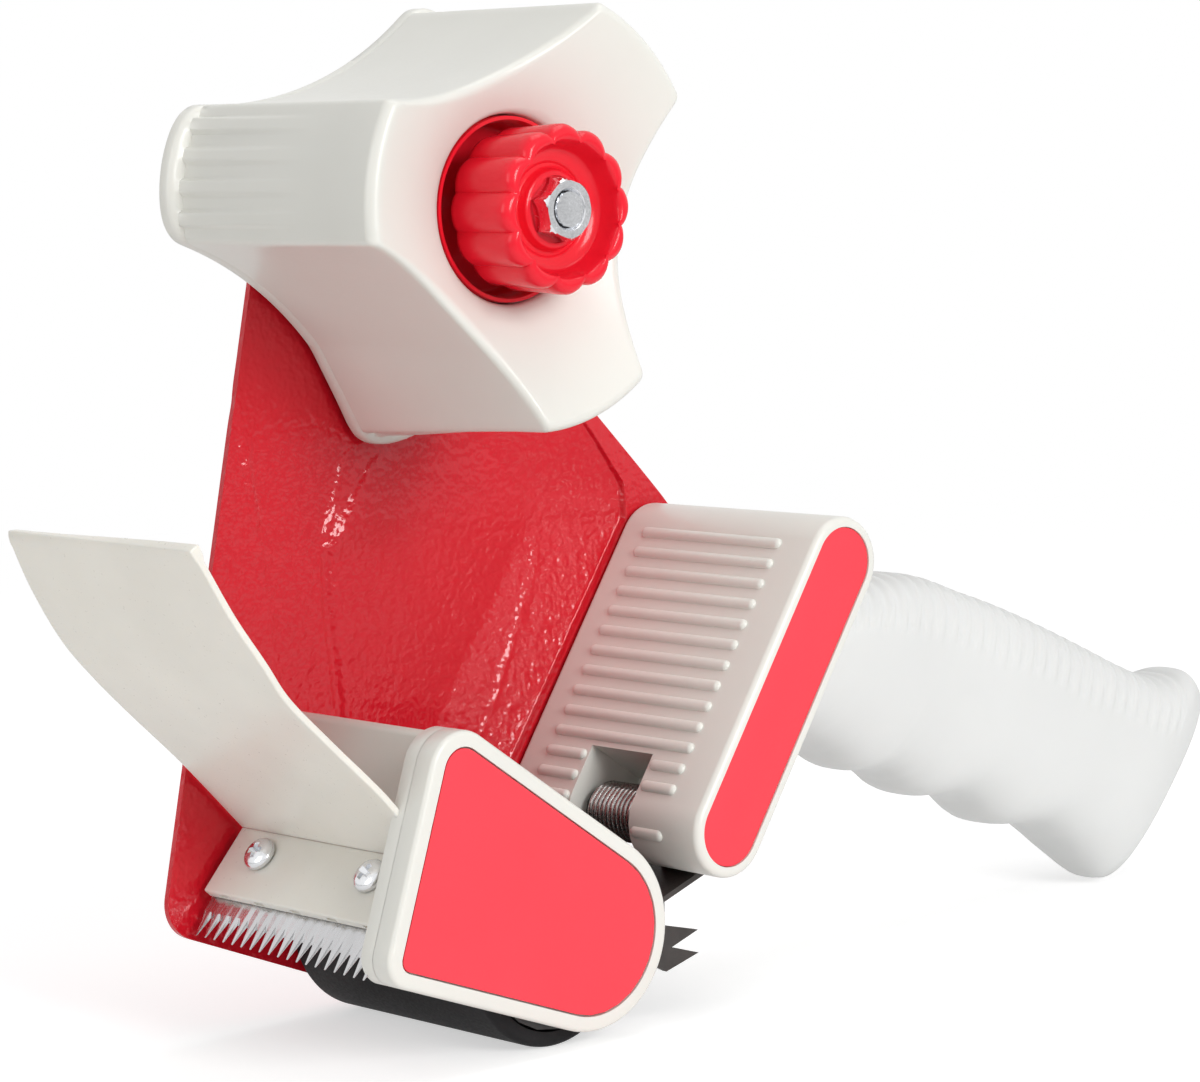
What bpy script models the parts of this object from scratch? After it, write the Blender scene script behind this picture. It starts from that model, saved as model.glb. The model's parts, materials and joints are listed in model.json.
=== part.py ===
"""Hand-held packing tape dispenser, modelled as separate pieces.

Metres, +Z up. X runs from the cutting end (-X) to the handle (+X), Y from the
open side (-Y) to the steel side plate (+Y). Pieces are laid out with the hub axis
at X = 0, the housing's seat on the plate at Y = 0 and the ground at Z = 0. At the
end the whole dispenser is moved so that its bounding box stands centred on the
origin.
"""

import math

import bmesh
import bpy
from mathutils import Matrix, Vector

# Gaps and overruns shared by all pieces
SEAT_GAP = 0.0003
RUNNING_GAP = 0.0005
CUT_OVERRUN = 0.002

# Planes across the width
HOUSING_DEPTH = 0.0515
PLATE_RECESS = 0.006
PLATE_THICKNESS = 0.0012
GUARD_WALL = 0.0054

OPEN_SIDE_Y = -HOUSING_DEPTH
GUARD_INNER_Y = OPEN_SIDE_Y + GUARD_WALL
WEB_FRONT_Y = PLATE_RECESS
WEB_BACK_Y = WEB_FRONT_Y + PLATE_THICKNESS

# Tape hub
HUB_HEIGHT = 0.1447
HUB_RADIUS = 0.0375
HUB_VALLEY_RADIUS = 0.0256
HUB_ARM_HALF_ANGLE = 18.67
HUB_TURN = -12.2
HUB_ARMS = 3
HUB_LENGTH = 0.0522
HUB_FLANGE_THICKNESS = 0.0026
HUB_FLANGE_LIP = 0.0038
HUB_EDGE_ROUND = 0.0022
HUB_DISH_DEPTH = 0.0086
HUB_HOLE_RADIUS = 0.0162
HUB_POCKET_DEPTH = 0.0110
HUB_BACK_WALL = 0.004
HUB_CORE_WALL = 0.003
HUB_SHELL_WALL = 0.0026
CRUSH_RIBS = 4
CRUSH_RIB_HEIGHT = 0.0009
CRUSH_RIB_WIDTH = 0.0028
CRUSH_RIB_LENGTH_SHARE = 0.62
CRUSH_RIB_SPREAD = 0.0056

# Hub axle, brake and knob
BOLT_RADIUS = 0.003
BOLT_HEAD_FLATS = 0.010
BOLT_HEAD_HEIGHT = 0.004
SLEEVE_WALL = 0.0013
FRICTION_WASHER_THICKNESS = 0.0006
FRICTION_WASHER_RADIUS = 0.013
CUP_WALL = 0.0012
CUP_FLOOR = 0.002
CUP_FLARE = 0.0010
SPRING_WIRE_RADIUS = 0.0006
SPRING_TURNS = 3.5
SPRING_RADIUS = 0.0062
WASHER_THICKNESS = 0.001
WASHER_RADIUS = 0.0092
KNOB_RADIUS = 0.0143
KNOB_LOBES = 12
KNOB_LOBE_DEPTH = 0.0011
KNOB_LENGTH = 0.0155
KNOB_PROUD = 0.0056
KNOB_RIM_WALL = 0.0022
KNOB_BOWL_DEPTH = 0.0052
KNOB_BOSS_RADIUS = 0.0068
KNOB_BOSS_HEIGHT = 0.0016
KNOB_BACK_RECESS = 0.0022
NUT_FLATS = 0.0095
NUT_HEIGHT = 0.0042
NUT_PROUD = 0.0036
BOLT_PROUD = 0.0008

# Roller
ROLLER_RADIUS = 0.0179
ROLLER_X = 0.0005
ROLLER_RUBBER = 0.0028
ROLLER_EDGE_ROUND = 0.0012
ROLLER_CORE_WALL = 0.0024
ROLLER_AXLE_RADIUS = 0.003
AXLE_NUT_FLATS = 0.008
AXLE_NUT_HEIGHT = 0.0032
AXLE_THREAD_PROUD = 0.0008

# Outline of the near end plate: three rounded corners joined by straight edges
GUARD_TOP = (-0.0235, 0.0522, 0.007)
GUARD_FRONT = (-0.0360, 0.0224, 0.005)
GUARD_REAR = (0.0049, 0.0198, 0.017)
GUARD_RIM = 0.0027
INLAY_THICKNESS = 0.0009
INLAY_SETBACK = 0.0001
GUARD_EDGE_ROUND = 0.0008

# Blade bar, wiper flap and cutter blade. The bar leans at BAR_ANGLE to the ground.
BAR_CORNER_X = -0.0281
BAR_CORNER_Z = 0.0370
BAR_ANGLE = 47.4
BAR_LENGTH = 0.0133
BAR_THICKNESS = 0.0020
FLAP_FAR_GAP = 0.0018
FLAP_THICKNESS = 0.0018
FLAP_LIP = 0.0009
FLAP_LIP_LENGTH = 0.0022
BLADE_THICKNESS = 0.0006
BLADE_SHOW = 0.0037
BLADE_TOOTH_LENGTH = 0.0036
BLADE_TEETH = 18
BLADE_TOP_MARGIN = 0.0012
BAR_NOTCHES = 5
BAR_NOTCH_WIDTH = 0.0022
BAR_NOTCH_DEPTH = 0.0006
SCREW_DOWN_BAR = 0.0048
SCREW_FROM_EDGE = 0.0098

# Front wall of the guard
WALL_THICKNESS = 0.003
WALL_TOP_X = -0.0195
WALL_TOP_Z = 0.0573
GUARD_BOSS_RADIUS = 0.0034
GUARD_BOSS_LENGTH = 0.016

# Rear housing: a slot-shaped block between two corner axes
HOUSING_TOP_X = 0.0683
HOUSING_TOP_Z = 0.0778
HOUSING_FOOT_X = 0.0379
HOUSING_FOOT_Z = 0.0332
HOUSING_HALF = 0.0081
HOUSING_RIM = 0.0021
RIBS = 13
RIB_FIRST = 0.0012
RIB_LAST = 0.0027
RIB_HALF_WIDTH = 0.0008
RIB_HEIGHT = 0.0009
RIB_START = 0.0065
RIB_END_MARGIN = 0.0083
NOTCH_SIDE_SHARE = 0.3437
NOTCH_HEIGHT = 0.0090
NOTCH_REAR_WALL = 0.0023
HOUSING_EDGE_ROUND = 0.0009

# Retention plate, its pin and its spring
PIN_RADIUS = 0.0015
PIN_END_WALL = 0.0030
EAR_THICKNESS = 0.0010
EAR_RADIUS = 0.0042
EAR_HALF_WIDTH = 0.0020
SHEET = 0.0010
RETAINER_GAP = 0.0009
RETAINER_SLOPE = 18.6
RETAINER_REAR = 0.0006
RETAINER_MARGIN = 0.0041
RETAINER_FAR_GAP = 0.0008
RETAINER_TEETH = 10
RETAINER_TOOTH_LENGTH = 0.0022
CHEEK_DEPTH = 0.0090
CHEEK_TOOTH_PITCH = 0.0042
CHEEK_TOOTH_LENGTH = 0.0081
CHEEK_TEETH = 2
CHEEK_BACK_SHARE = 0.49
TORSION_WIRE_RADIUS = 0.00045
TORSION_RADIUS = 0.0046
TORSION_TURNS = 8
TORSION_LEG = 0.0062

# Side plate outline and relief
PLATE_TOP_RADIUS = 0.0179
PLATE_CORNER_X = -0.0368
PLATE_CORNER_Z = 0.0253
PLATE_CORNER_RADIUS = 0.0075
PLATE_REAR_RADIUS = 0.0175
PLATE_MARGIN = 0.0009
PAD_SLOPE_RISE = 0.0048
PAD_STEP_RUN = 0.0011
DISH_EXTRA = 0.0007
BEAD_HEIGHT = 0.0007
BEAD_HALF_WIDTH = 0.0010

# Handle
HANDLE_HALF_WIDTH = 0.0145
HANDLE_ROOT_HALF_WIDTH = 0.0165
HANDLE_END_BULGE = 0.0062
HANDLE_RIBS = 29
HANDLE_RIB_HEIGHT = 0.0006
FINGER_WAVE = 0.0015
FINGER_PITCH = 0.0217
SPIGOT_LENGTH = 0.009
SPIGOT_INSET = 0.006
SPIGOT_HALF_WIDTH = 0.011

# Self-tapping screws
SCREW_HEAD_RADIUS = 0.0030
SCREW_HEAD_HEIGHT = 0.0018
SCREW_SHANK_RADIUS = 0.0014
SCREW_CROSS_WIDTH = 0.0008
SCREW_CROSS_LENGTH = 0.0034
SCREW_CROSS_DEPTH = 0.0010
BLADE_SCREW_LENGTH = 0.0060
FRAME_SCREW_LENGTH = 0.0100
HANDLE_SCREW_LENGTH = 0.0240

ROUND_STEPS = 40
SMALL_STEPS = 16
SHARP_ANGLE = 35.0


def clear_scene():
    """Remove every object that the file opened with."""
    for item in list(bpy.data.objects):
        bpy.data.objects.remove(item, do_unlink=True)


def make_material(name, colour, roughness, metallic=0.0):
    """A plain Principled material."""
    material = bpy.data.materials.new(name)
    material.use_nodes = True
    shader = material.node_tree.nodes["Principled BSDF"]
    shader.inputs["Base Color"].default_value = (*colour, 1.0)
    shader.inputs["Roughness"].default_value = roughness
    shader.inputs["Metallic"].default_value = metallic
    material.diffuse_color = (*colour, 1.0)
    return material


def make_materials():
    """The finishes that the dispenser shows."""
    return {
        "red_paint": make_material("red_paint", (0.62, 0.012, 0.025), 0.22, 0.0),
        "warm_plastic": make_material("warm_plastic", (0.70, 0.68, 0.60), 0.35),
        "milky_plastic": make_material("milky_plastic", (0.80, 0.78, 0.72), 0.30),
        "grip_plastic": make_material("grip_plastic", (0.78, 0.79, 0.76), 0.45),
        "coral_inlay": make_material("coral_inlay", (0.92, 0.06, 0.075), 0.55),
        "red_plastic": make_material("red_plastic", (0.80, 0.012, 0.03), 0.15),
        "rubber": make_material("rubber", (0.022, 0.021, 0.022), 0.45),
        "core_plastic": make_material("core_plastic", (0.12, 0.12, 0.12), 0.5),
        "blade_steel": make_material("blade_steel", (0.62, 0.62, 0.62), 0.18, 1.0),
        "zinc": make_material("zinc", (0.75, 0.76, 0.78), 0.25, 1.0),
        "dark_steel": make_material("dark_steel", (0.28, 0.27, 0.26), 0.3, 1.0),
        "nylon": make_material("nylon", (0.75, 0.74, 0.68), 0.4),
        "fibre": make_material("fibre", (0.12, 0.11, 0.10), 0.8),
    }


def make_empty(name, location, parent=None):
    """An empty on a joint's axis, given by its place in the layout."""
    empty = bpy.data.objects.new(name, None)
    empty.empty_display_size = HUB_RADIUS
    bpy.context.scene.collection.objects.link(empty)
    empty.location = location
    if parent is not None:
        empty.parent = parent
        empty.location = Vector(location) - layout_place(parent)
    return empty


def layout_place(empty):
    """Where an empty stands in the layout, from its chain of parents."""
    place = Vector(empty.location)
    while empty.parent is not None:
        empty = empty.parent
        place = place + Vector(empty.location)
    return place


def add_piece(name, mesh_data, material, parent):
    """Turn a bmesh drawn in layout coordinates into an object under its empty."""
    bmesh.ops.recalc_face_normals(mesh_data, faces=mesh_data.faces)
    bmesh.ops.translate(mesh_data, verts=mesh_data.verts, vec=-layout_place(parent))
    mesh = bpy.data.meshes.new(name)
    mesh_data.to_mesh(mesh)
    mesh_data.free()
    mesh.materials.append(material)
    mesh.shade_smooth()
    mesh.set_sharp_from_angle(angle=math.radians(SHARP_ANGLE))
    piece = bpy.data.objects.new(name, mesh)
    bpy.context.scene.collection.objects.link(piece)
    piece.parent = parent
    return piece


def combine(piece, tool_data, operation):
    """Join, cut or clip a piece with a helper solid that stays hidden."""
    bmesh.ops.recalc_face_normals(tool_data, faces=tool_data.faces)
    parent = piece.parent
    bmesh.ops.translate(tool_data, verts=tool_data.verts, vec=-layout_place(parent))
    mesh = bpy.data.meshes.new("tool_" + piece.name)
    tool_data.to_mesh(mesh)
    tool_data.free()
    tool = bpy.data.objects.new("tool_" + piece.name, mesh)
    bpy.context.scene.collection.objects.link(tool)
    tool.parent = parent
    tool.hide_render = True
    tool.display_type = "WIRE"
    modifier = piece.modifiers.new(operation.lower(), "BOOLEAN")
    modifier.operation = operation
    modifier.solver = "EXACT"
    modifier.use_self = True
    modifier.object = tool


def soften(piece, width, segments=1, angle=50.0):
    """Round the sharp edges of a piece."""
    modifier = piece.modifiers.new("edge_round", "BEVEL")
    modifier.width = width
    modifier.segments = segments
    modifier.limit_method = "ANGLE"
    modifier.angle_limit = math.radians(angle)
    modifier.harden_normals = False


def merge(target, source):
    """Copy the faces of one bmesh into another."""
    table = {vertex: target.verts.new(vertex.co) for vertex in source.verts}
    for face in source.faces:
        target.faces.new([table[vertex] for vertex in face.verts])
    source.free()
    return target


def prism(outline, y_from, y_to):
    """Extrude an XZ outline along Y."""
    data = bmesh.new()
    near = [data.verts.new((x, y_from, z)) for x, z in outline]
    far = [data.verts.new((x, y_to, z)) for x, z in outline]
    data.faces.new(near)
    data.faces.new(list(reversed(far)))
    count = len(outline)
    for index in range(count):
        following = (index + 1) % count
        data.faces.new((near[following], near[index], far[index], far[following]))
    return data


def loft(rings, closed=False):
    """Skin a list of rings of equal length and cap both ends unless it is closed."""
    data = bmesh.new()
    rows = [[data.verts.new(point) for point in ring] for ring in rings]
    pairs = list(zip(rows, rows[1:]))
    if closed:
        pairs.append((rows[-1], rows[0]))
    for first, second in pairs:
        count = len(first)
        for index in range(count):
            following = (index + 1) % count
            data.faces.new((first[index], first[following], second[following], second[index]))
    if not closed:
        data.faces.new(list(reversed(rows[0])))
        data.faces.new(rows[-1])
    return data


def lathe(profile, axis_x, axis_z, steps=ROUND_STEPS, closed=False):
    """Turn a profile of (radius, y) points about an axis that runs along Y."""
    rings = []
    for radius, y in profile:
        ring = []
        for step in range(steps):
            angle = math.tau * step / steps
            ring.append((axis_x + radius * math.cos(angle), y, axis_z + radius * math.sin(angle)))
        rings.append(ring)
    return loft(rings, closed)


def tube(outer, inner, y_from, y_to, axis_x, axis_z, steps=ROUND_STEPS):
    """A plain sleeve along Y."""
    profile = [(outer, y_from), (outer, y_to), (inner, y_to), (inner, y_from)]
    return lathe(profile, axis_x, axis_z, steps, closed=True)


def rod(radius, y_from, y_to, axis_x, axis_z, steps=SMALL_STEPS):
    """A plain round bar along Y."""
    return lathe([(radius, y_from), (radius, y_to)], axis_x, axis_z, steps)


def hexagon(flats, y_from, y_to, axis_x, axis_z):
    """A hexagonal bar along Y, given by its width across the flats."""
    corner = flats / math.sqrt(3.0)
    return lathe([(corner, y_from), (corner, y_to)], axis_x, axis_z, 6)


def arc(centre_x, centre_z, radius, start, end, steps):
    """Points on an arc, angles in degrees."""
    points = []
    for step in range(steps + 1):
        angle = math.radians(start + (end - start) * step / steps)
        points.append((centre_x + radius * math.cos(angle), centre_z + radius * math.sin(angle)))
    return points


def rounded_hull(corners, step_angle=15.0):
    """The outline of a belt pulled round circles given as (x, z, radius).

    The circles are listed in anticlockwise order and each one touches the belt.
    """
    outline = []
    count = len(corners)
    normals = []
    for index in range(count):
        x_a, z_a, r_a = corners[index]
        x_b, z_b, r_b = corners[(index + 1) % count]
        span = math.hypot(x_b - x_a, z_b - z_a)
        heading = math.degrees(math.atan2(z_b - z_a, x_b - x_a))
        lean = math.degrees(math.asin((r_a - r_b) / span))
        normals.append(heading - 90.0 + lean)
    for index in range(count):
        x, z, radius = corners[index]
        start = normals[index - 1]
        end = normals[index]
        while end < start:
            end += 360.0
        steps = max(2, math.ceil((end - start) / step_angle))
        outline += arc(x, z, radius, start, end, steps)
    return outline


def shrink(corners, inset):
    """The same rounded corners drawn in by a rim."""
    return [(x, z, radius - inset) for x, z, radius in corners]


def smooth_through(points, steps):
    """Points along a smooth curve through the given XZ points."""
    curve = []
    last = len(points) - 1
    for index in range(last):
        before = Vector(points[max(index - 1, 0)])
        start = Vector(points[index])
        end = Vector(points[index + 1])
        after = Vector(points[min(index + 2, last)])
        for step in range(steps):
            t = step / steps
            curve.append(catmull(before, start, end, after, t))
    curve.append(Vector(points[last]))
    return curve


def catmull(before, start, end, after, t):
    """One point of a curve that passes through its points."""
    linear = (end - before) * t
    square = (2.0 * before - 5.0 * start + 4.0 * end - after) * t * t
    cube = (3.0 * start - before - 3.0 * end + after) * t * t * t
    return start + (linear + square + cube) / 2.0


def wire(path, radius, sides=6):
    """A round wire along a list of points, with closed ends."""
    rings = []
    last = len(path) - 1
    normal = None
    for index, point in enumerate(path):
        ahead = path[min(index + 1, last)] - path[max(index - 1, 0)]
        ahead.normalize()
        if normal is None:
            seed = Vector((0.0, 1.0, 0.0))
            if abs(ahead.dot(seed)) > 0.9:
                seed = Vector((1.0, 0.0, 0.0))
            normal = ahead.cross(seed).normalized()
        normal = (normal - ahead * normal.dot(ahead)).normalized()
        side = ahead.cross(normal)
        ring = []
        for step in range(sides):
            angle = math.tau * step / sides
            ring.append(point + radius * (math.cos(angle) * normal + math.sin(angle) * side))
        rings.append(ring)
    return loft(rings)


def pan_screw(tip, direction, shank_length):
    """A cross-head screw whose head sits at tip and whose shank runs along direction."""
    profile = [
        (SCREW_SHANK_RADIUS, shank_length),
        (SCREW_SHANK_RADIUS, 0.0),
        (SCREW_HEAD_RADIUS, 0.0),
        (SCREW_HEAD_RADIUS, -SCREW_HEAD_HEIGHT * SCREW_RIM_SHARE),
        (SCREW_HEAD_RADIUS * SCREW_DOME_SHARE, -SCREW_HEAD_HEIGHT),
    ]
    body = lathe(profile, 0.0, 0.0, SMALL_STEPS)
    turn = Vector((0.0, 1.0, 0.0)).rotation_difference(Vector(direction)).to_matrix().to_4x4()
    place = Matrix.Translation(tip) @ turn
    bmesh.ops.transform(body, matrix=place, verts=body.verts)
    return body, place


SCREW_RIM_SHARE = 0.35
SCREW_DOME_SHARE = 0.62


def cross_recess(place):
    """The cross in a screw head, as a star-shaped cutter."""
    half = SCREW_CROSS_WIDTH / 2.0
    reach = SCREW_CROSS_LENGTH / 2.0
    outline = [(reach, -half), (reach, half), (half, half), (half, reach), (-half, reach), (-half, half)]
    outline += [(-x, -z) for x, z in outline]
    top = -SCREW_HEAD_HEIGHT - CUT_OVERRUN
    cutter = prism(outline, top, -SCREW_HEAD_HEIGHT + SCREW_CROSS_DEPTH)
    bmesh.ops.transform(cutter, matrix=place, verts=cutter.verts)
    return cutter


def add_screw(name, tip, direction, length, material, parent):
    """One self-tapping screw with its cross recess."""
    body, place = pan_screw(tip, direction, length)
    screw = add_piece(name, body, material, parent)
    combine(screw, cross_recess(place), "DIFFERENCE")
    return screw


def bar_frame():
    """Directions of the blade bar: down its face, and out of its face."""
    angle = math.radians(BAR_ANGLE)
    down = Vector((-math.cos(angle), -math.sin(angle)))
    out = Vector((-math.sin(angle), math.cos(angle)))
    return Vector((BAR_CORNER_X, BAR_CORNER_Z)), down, out


def housing_frame():
    """Directions of the housing: down its length, and out of its ribbed face."""
    top = Vector((HOUSING_TOP_X, HOUSING_TOP_Z))
    foot = Vector((HOUSING_FOOT_X, HOUSING_FOOT_Z))
    down = (foot - top).normalized()
    out = Vector((down.y, -down.x))
    return top, foot, down, out


def housing_corners(half):
    """The two corner circles of the housing, anticlockwise."""
    return [(HOUSING_FOOT_X, HOUSING_FOOT_Z, half), (HOUSING_TOP_X, HOUSING_TOP_Z, half)]


def guard_corners():
    """The three corner circles of the near end plate, anticlockwise."""
    return [GUARD_TOP, GUARD_FRONT, GUARD_REAR]


def plate_outline():
    """The side plate's outline, from the hub's crown down to the roller."""
    half = HOUSING_HALF + PLATE_MARGIN
    corners = [
        (0.0, HUB_HEIGHT, PLATE_TOP_RADIUS),
        (PLATE_CORNER_X, PLATE_CORNER_Z, PLATE_CORNER_RADIUS),
        (GUARD_REAR[0], GUARD_REAR[1], PLATE_REAR_RADIUS),
        (HOUSING_FOOT_X, HOUSING_FOOT_Z, half),
        (HOUSING_TOP_X, HOUSING_TOP_Z, half),
    ]
    return rounded_hull(corners)


def frame_screw_places():
    """Where the screws pass through the side plate, as (name, x, z, seat y)."""
    top, foot, down, out = housing_frame()
    places = []
    for index, (along, across) in enumerate(HOUSING_SCREW_SHARES):
        spot = top.lerp(foot, along) + out * HOUSING_HALF * across
        places.append(("housing_screw_%d" % (index + 1), spot.x, spot.y, PLATE_THICKNESS))
    for index, share in enumerate(HANDLE_SCREW_SHARES):
        spot = top.lerp(foot, share) - out * (HOUSING_HALF - SPIGOT_LENGTH * SPIGOT_SCREW_SHARE)
        places.append(("handle_screw_%d" % (index + 1), spot.x, spot.y, PLATE_THICKNESS))
    for index, spot in enumerate(guard_boss_places()):
        places.append(("guard_screw_%d" % (index + 1), spot[0], spot[1], WEB_BACK_Y))
    return places


def frame_screw_length(name):
    """Shank length of a frame screw: the handle's screws are longer."""
    if name.startswith("handle"):
        return HANDLE_SCREW_LENGTH
    return FRAME_SCREW_LENGTH


HOUSING_SCREW_SHARES = ((0.02, 0.35), (0.55, 0.35), (0.86, -0.55))
HANDLE_SCREW_SHARES = (0.25, 0.60)
SPIGOT_SCREW_SHARE = 0.45


def guard_boss_places():
    """Axes of the two screw bosses behind the guard's front wall."""
    corner, down, out = bar_frame()
    seat = BAR_THICKNESS + BLADE_THICKNESS + 2.0 * SEAT_GAP
    depth = seat + WALL_THICKNESS + GUARD_BOSS_RADIUS * BOSS_SINK_SHARE
    low = corner + down * BAR_LENGTH * BOSS_LOW_SHARE - out * depth
    high_x = WALL_TOP_X + WALL_THICKNESS + GUARD_BOSS_RADIUS * BOSS_SINK_SHARE - BOSS_LEAN
    high_z = BAR_CORNER_Z + (WALL_TOP_Z - BAR_CORNER_Z) * BOSS_HIGH_SHARE
    return [(high_x, high_z), (low.x, low.y)]


BOSS_SINK_SHARE = 0.55
BOSS_LOW_SHARE = 0.45
BOSS_HIGH_SHARE = 0.62
BOSS_LEAN = 0.0020


def relief_rows():
    """Heights of the rows that carry the plate's pressed relief."""
    foot = HOUSING_FOOT_Z
    top = HOUSING_TOP_Z
    return [
        -0.4 * foot,
        foot - 2.2 * HOUSING_HALF,
        foot - 1.2 * HOUSING_HALF,
        foot,
        foot + 0.35 * (top - foot),
        foot + 0.70 * (top - foot),
        top,
        top + 0.14 * (HUB_HEIGHT - top),
        top + 0.34 * (HUB_HEIGHT - top),
        top + 0.55 * (HUB_HEIGHT - top),
        top + 0.80 * (HUB_HEIGHT - top),
        HUB_HEIGHT,
        HUB_HEIGHT + 2.0 * PLATE_TOP_RADIUS,
    ]


def side_plate(materials, root):
    """The pressed steel side plate, which carries every other piece."""
    rows = relief_rows()
    grid = [relief_row(z) for z in rows]
    front = [[(x, y, z) for x, y in row] for row, z in zip(grid, rows)]
    back = [[(x, y + PLATE_THICKNESS, z) for x, y in row] for row, z in zip(grid, rows)]
    plate = add_piece("side_plate", relief_skin(front, back), materials["red_paint"], root)
    stencil = prism(plate_outline(), -HOUSING_DEPTH, WEB_BACK_Y + HOUSING_DEPTH)
    combine(plate, stencil, "INTERSECT")
    holes = rod(BOLT_RADIUS + SEAT_GAP, -CUT_OVERRUN, WEB_BACK_Y + CUT_OVERRUN, 0.0, HUB_HEIGHT)
    axle = rod(
        ROLLER_AXLE_RADIUS + SEAT_GAP, -CUT_OVERRUN, WEB_BACK_Y + CUT_OVERRUN, ROLLER_X, ROLLER_RADIUS
    )
    merge(holes, axle)
    for name, x, z, seat in frame_screw_places():
        hole = rod(SCREW_SHANK_RADIUS + SEAT_GAP, -CUT_OVERRUN, WEB_BACK_Y + CUT_OVERRUN, x, z)
        merge(holes, hole)
    combine(plate, holes, "DIFFERENCE")
    return plate


def relief_skin(front, back):
    """A sheet between two matching grids of points, cut into matching triangles."""
    data = bmesh.new()
    near = [[data.verts.new(point) for point in row] for row in front]
    far = [[data.verts.new(point) for point in row] for row in back]
    rows = len(near)
    columns = len(near[0])
    for grid in (near, far):
        for row in range(rows - 1):
            for column in range(columns - 1):
                a, b = grid[row][column], grid[row][column + 1]
                c, d = grid[row + 1][column + 1], grid[row + 1][column]
                data.faces.new((a, b, c))
                data.faces.new((a, c, d))
    rim = [(0, column) for column in range(columns)]
    rim += [(row, columns - 1) for row in range(1, rows)]
    rim += [(rows - 1, column) for column in range(columns - 2, -1, -1)]
    rim += [(row, 0) for row in range(rows - 2, 0, -1)]
    for index, (row, column) in enumerate(rim):
        next_row, next_column = rim[(index + 1) % len(rim)]
        a, b = near[row][column], near[next_row][next_column]
        c, d = far[next_row][next_column], far[row][column]
        data.faces.new((a, b, c, d))
    return data


RIDGE_OFFSET = 0.0130
BEND_LEAN = 0.66
CREASE_X = -0.0080
CREASE_RUN = 0.0035
BEAD_INSET = 0.0034
DISH_RISE = 0.0160
PAD_FADE_TOP = 0.0460
PAD_FADE_RUN = 0.0230


def plate_left_edge(z):
    """X of the plate's front edge at a height."""
    run = (HUB_HEIGHT - z) / (HUB_HEIGHT - PLATE_CORNER_Z)
    crown = -PLATE_TOP_RADIUS
    foot = PLATE_CORNER_X - PLATE_CORNER_RADIUS
    return crown + (foot - crown) * run


def relief_row(z):
    """One row of the relief, from the front edge to the rear, as (x, y) points."""
    top, foot, down, out = housing_frame()
    edge = top + out * (HOUSING_HALF + PLATE_MARGIN)
    slope = down.x / down.y
    step = edge.x + (z - edge.y) * slope
    if z > HOUSING_TOP_Z:
        step = edge.x + HOUSING_HALF - (z - HOUSING_TOP_Z) * BEND_LEAN
    if z < HOUSING_FOOT_Z:
        step = step + (HOUSING_FOOT_Z - z) * 2.0
    ridge = step - RIDGE_OFFSET
    above = max(0.0, z - HOUSING_TOP_Z)
    ridge = ridge - above * 0.25
    left = plate_left_edge(z)
    fade = min(1.0, max(0.0, (HUB_HEIGHT - 1.5 * PLATE_TOP_RADIUS - z) / DISH_RISE))
    fade = min(fade, max(0.0, (z - HOUSING_FOOT_Z) / DISH_RISE))
    floor_y = WEB_FRONT_Y + DISH_EXTRA * fade
    bead_share = 1.0 if z > HOUSING_TOP_Z + DISH_RISE else 0.0
    bead_y = WEB_FRONT_Y - BEAD_HEIGHT * bead_share
    bead = left + BEAD_INSET
    crease = min(CREASE_X, ridge - 2.0 * CREASE_RUN)
    bead = min(bead, crease - 3.0 * BEAD_HALF_WIDTH)
    pad_fade = min(1.0, max(0.0, (PAD_FADE_TOP - (z - HOUSING_TOP_Z)) / PAD_FADE_RUN))
    slope_top_y = WEB_FRONT_Y - PAD_SLOPE_RISE * pad_fade
    far = HOUSING_TOP_X + HUB_HEIGHT
    return [
        (-far, WEB_FRONT_Y),
        (bead - BEAD_HALF_WIDTH, WEB_FRONT_Y),
        (bead, bead_y),
        (bead + BEAD_HALF_WIDTH, WEB_FRONT_Y),
        (crease, WEB_FRONT_Y),
        (crease + CREASE_RUN, floor_y),
        (ridge, floor_y),
        (step, slope_top_y),
        (step + PAD_STEP_RUN, WEB_FRONT_Y * (1.0 - pad_fade)),
        (far, WEB_FRONT_Y * (1.0 - pad_fade)),
    ]


def front_guard(materials, root):
    """Near end plate and front wall, moulded in one piece."""
    outline = rounded_hull(guard_corners())
    guard = add_piece(
        "front_guard", prism(outline, OPEN_SIDE_Y, GUARD_INNER_Y), materials["warm_plastic"], root
    )
    soften(guard, GUARD_EDGE_ROUND, 1, 60.0)
    combine(guard, guard_wall(), "UNION")
    boss = rod(
        ROLLER_AXLE_RADIUS + AXLE_BOSS_WALL,
        GUARD_INNER_Y - SEAT_GAP,
        GUARD_INNER_Y + RUNNING_GAP / 2.0,
        ROLLER_X,
        ROLLER_RADIUS,
        SMALL_STEPS,
    )
    combine(guard, boss, "UNION")
    inlay = rounded_hull(shrink(guard_corners(), GUARD_RIM))
    recess = prism(inlay, OPEN_SIDE_Y - CUT_OVERRUN, OPEN_SIDE_Y + inlay_recess())
    bore = rod(
        ROLLER_AXLE_RADIUS + SEAT_GAP,
        OPEN_SIDE_Y + inlay_recess() + AXLE_END_WALL,
        GUARD_INNER_Y + CUT_OVERRUN,
        ROLLER_X,
        ROLLER_RADIUS,
    )
    merge(recess, bore)
    for x, z in guard_boss_places():
        hole = rod(
            SCREW_SHANK_RADIUS + SEAT_GAP,
            WEB_BACK_Y - FRAME_SCREW_LENGTH - CUT_OVERRUN,
            WEB_FRONT_Y + CUT_OVERRUN,
            x,
            z,
            SMALL_STEPS,
        )
        merge(recess, hole)
    for place in blade_screw_places():
        merge(recess, blade_screw_hole(place))
    combine(guard, recess, "DIFFERENCE")
    return guard


AXLE_BOSS_WALL = 0.002
AXLE_END_WALL = 0.0012


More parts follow.
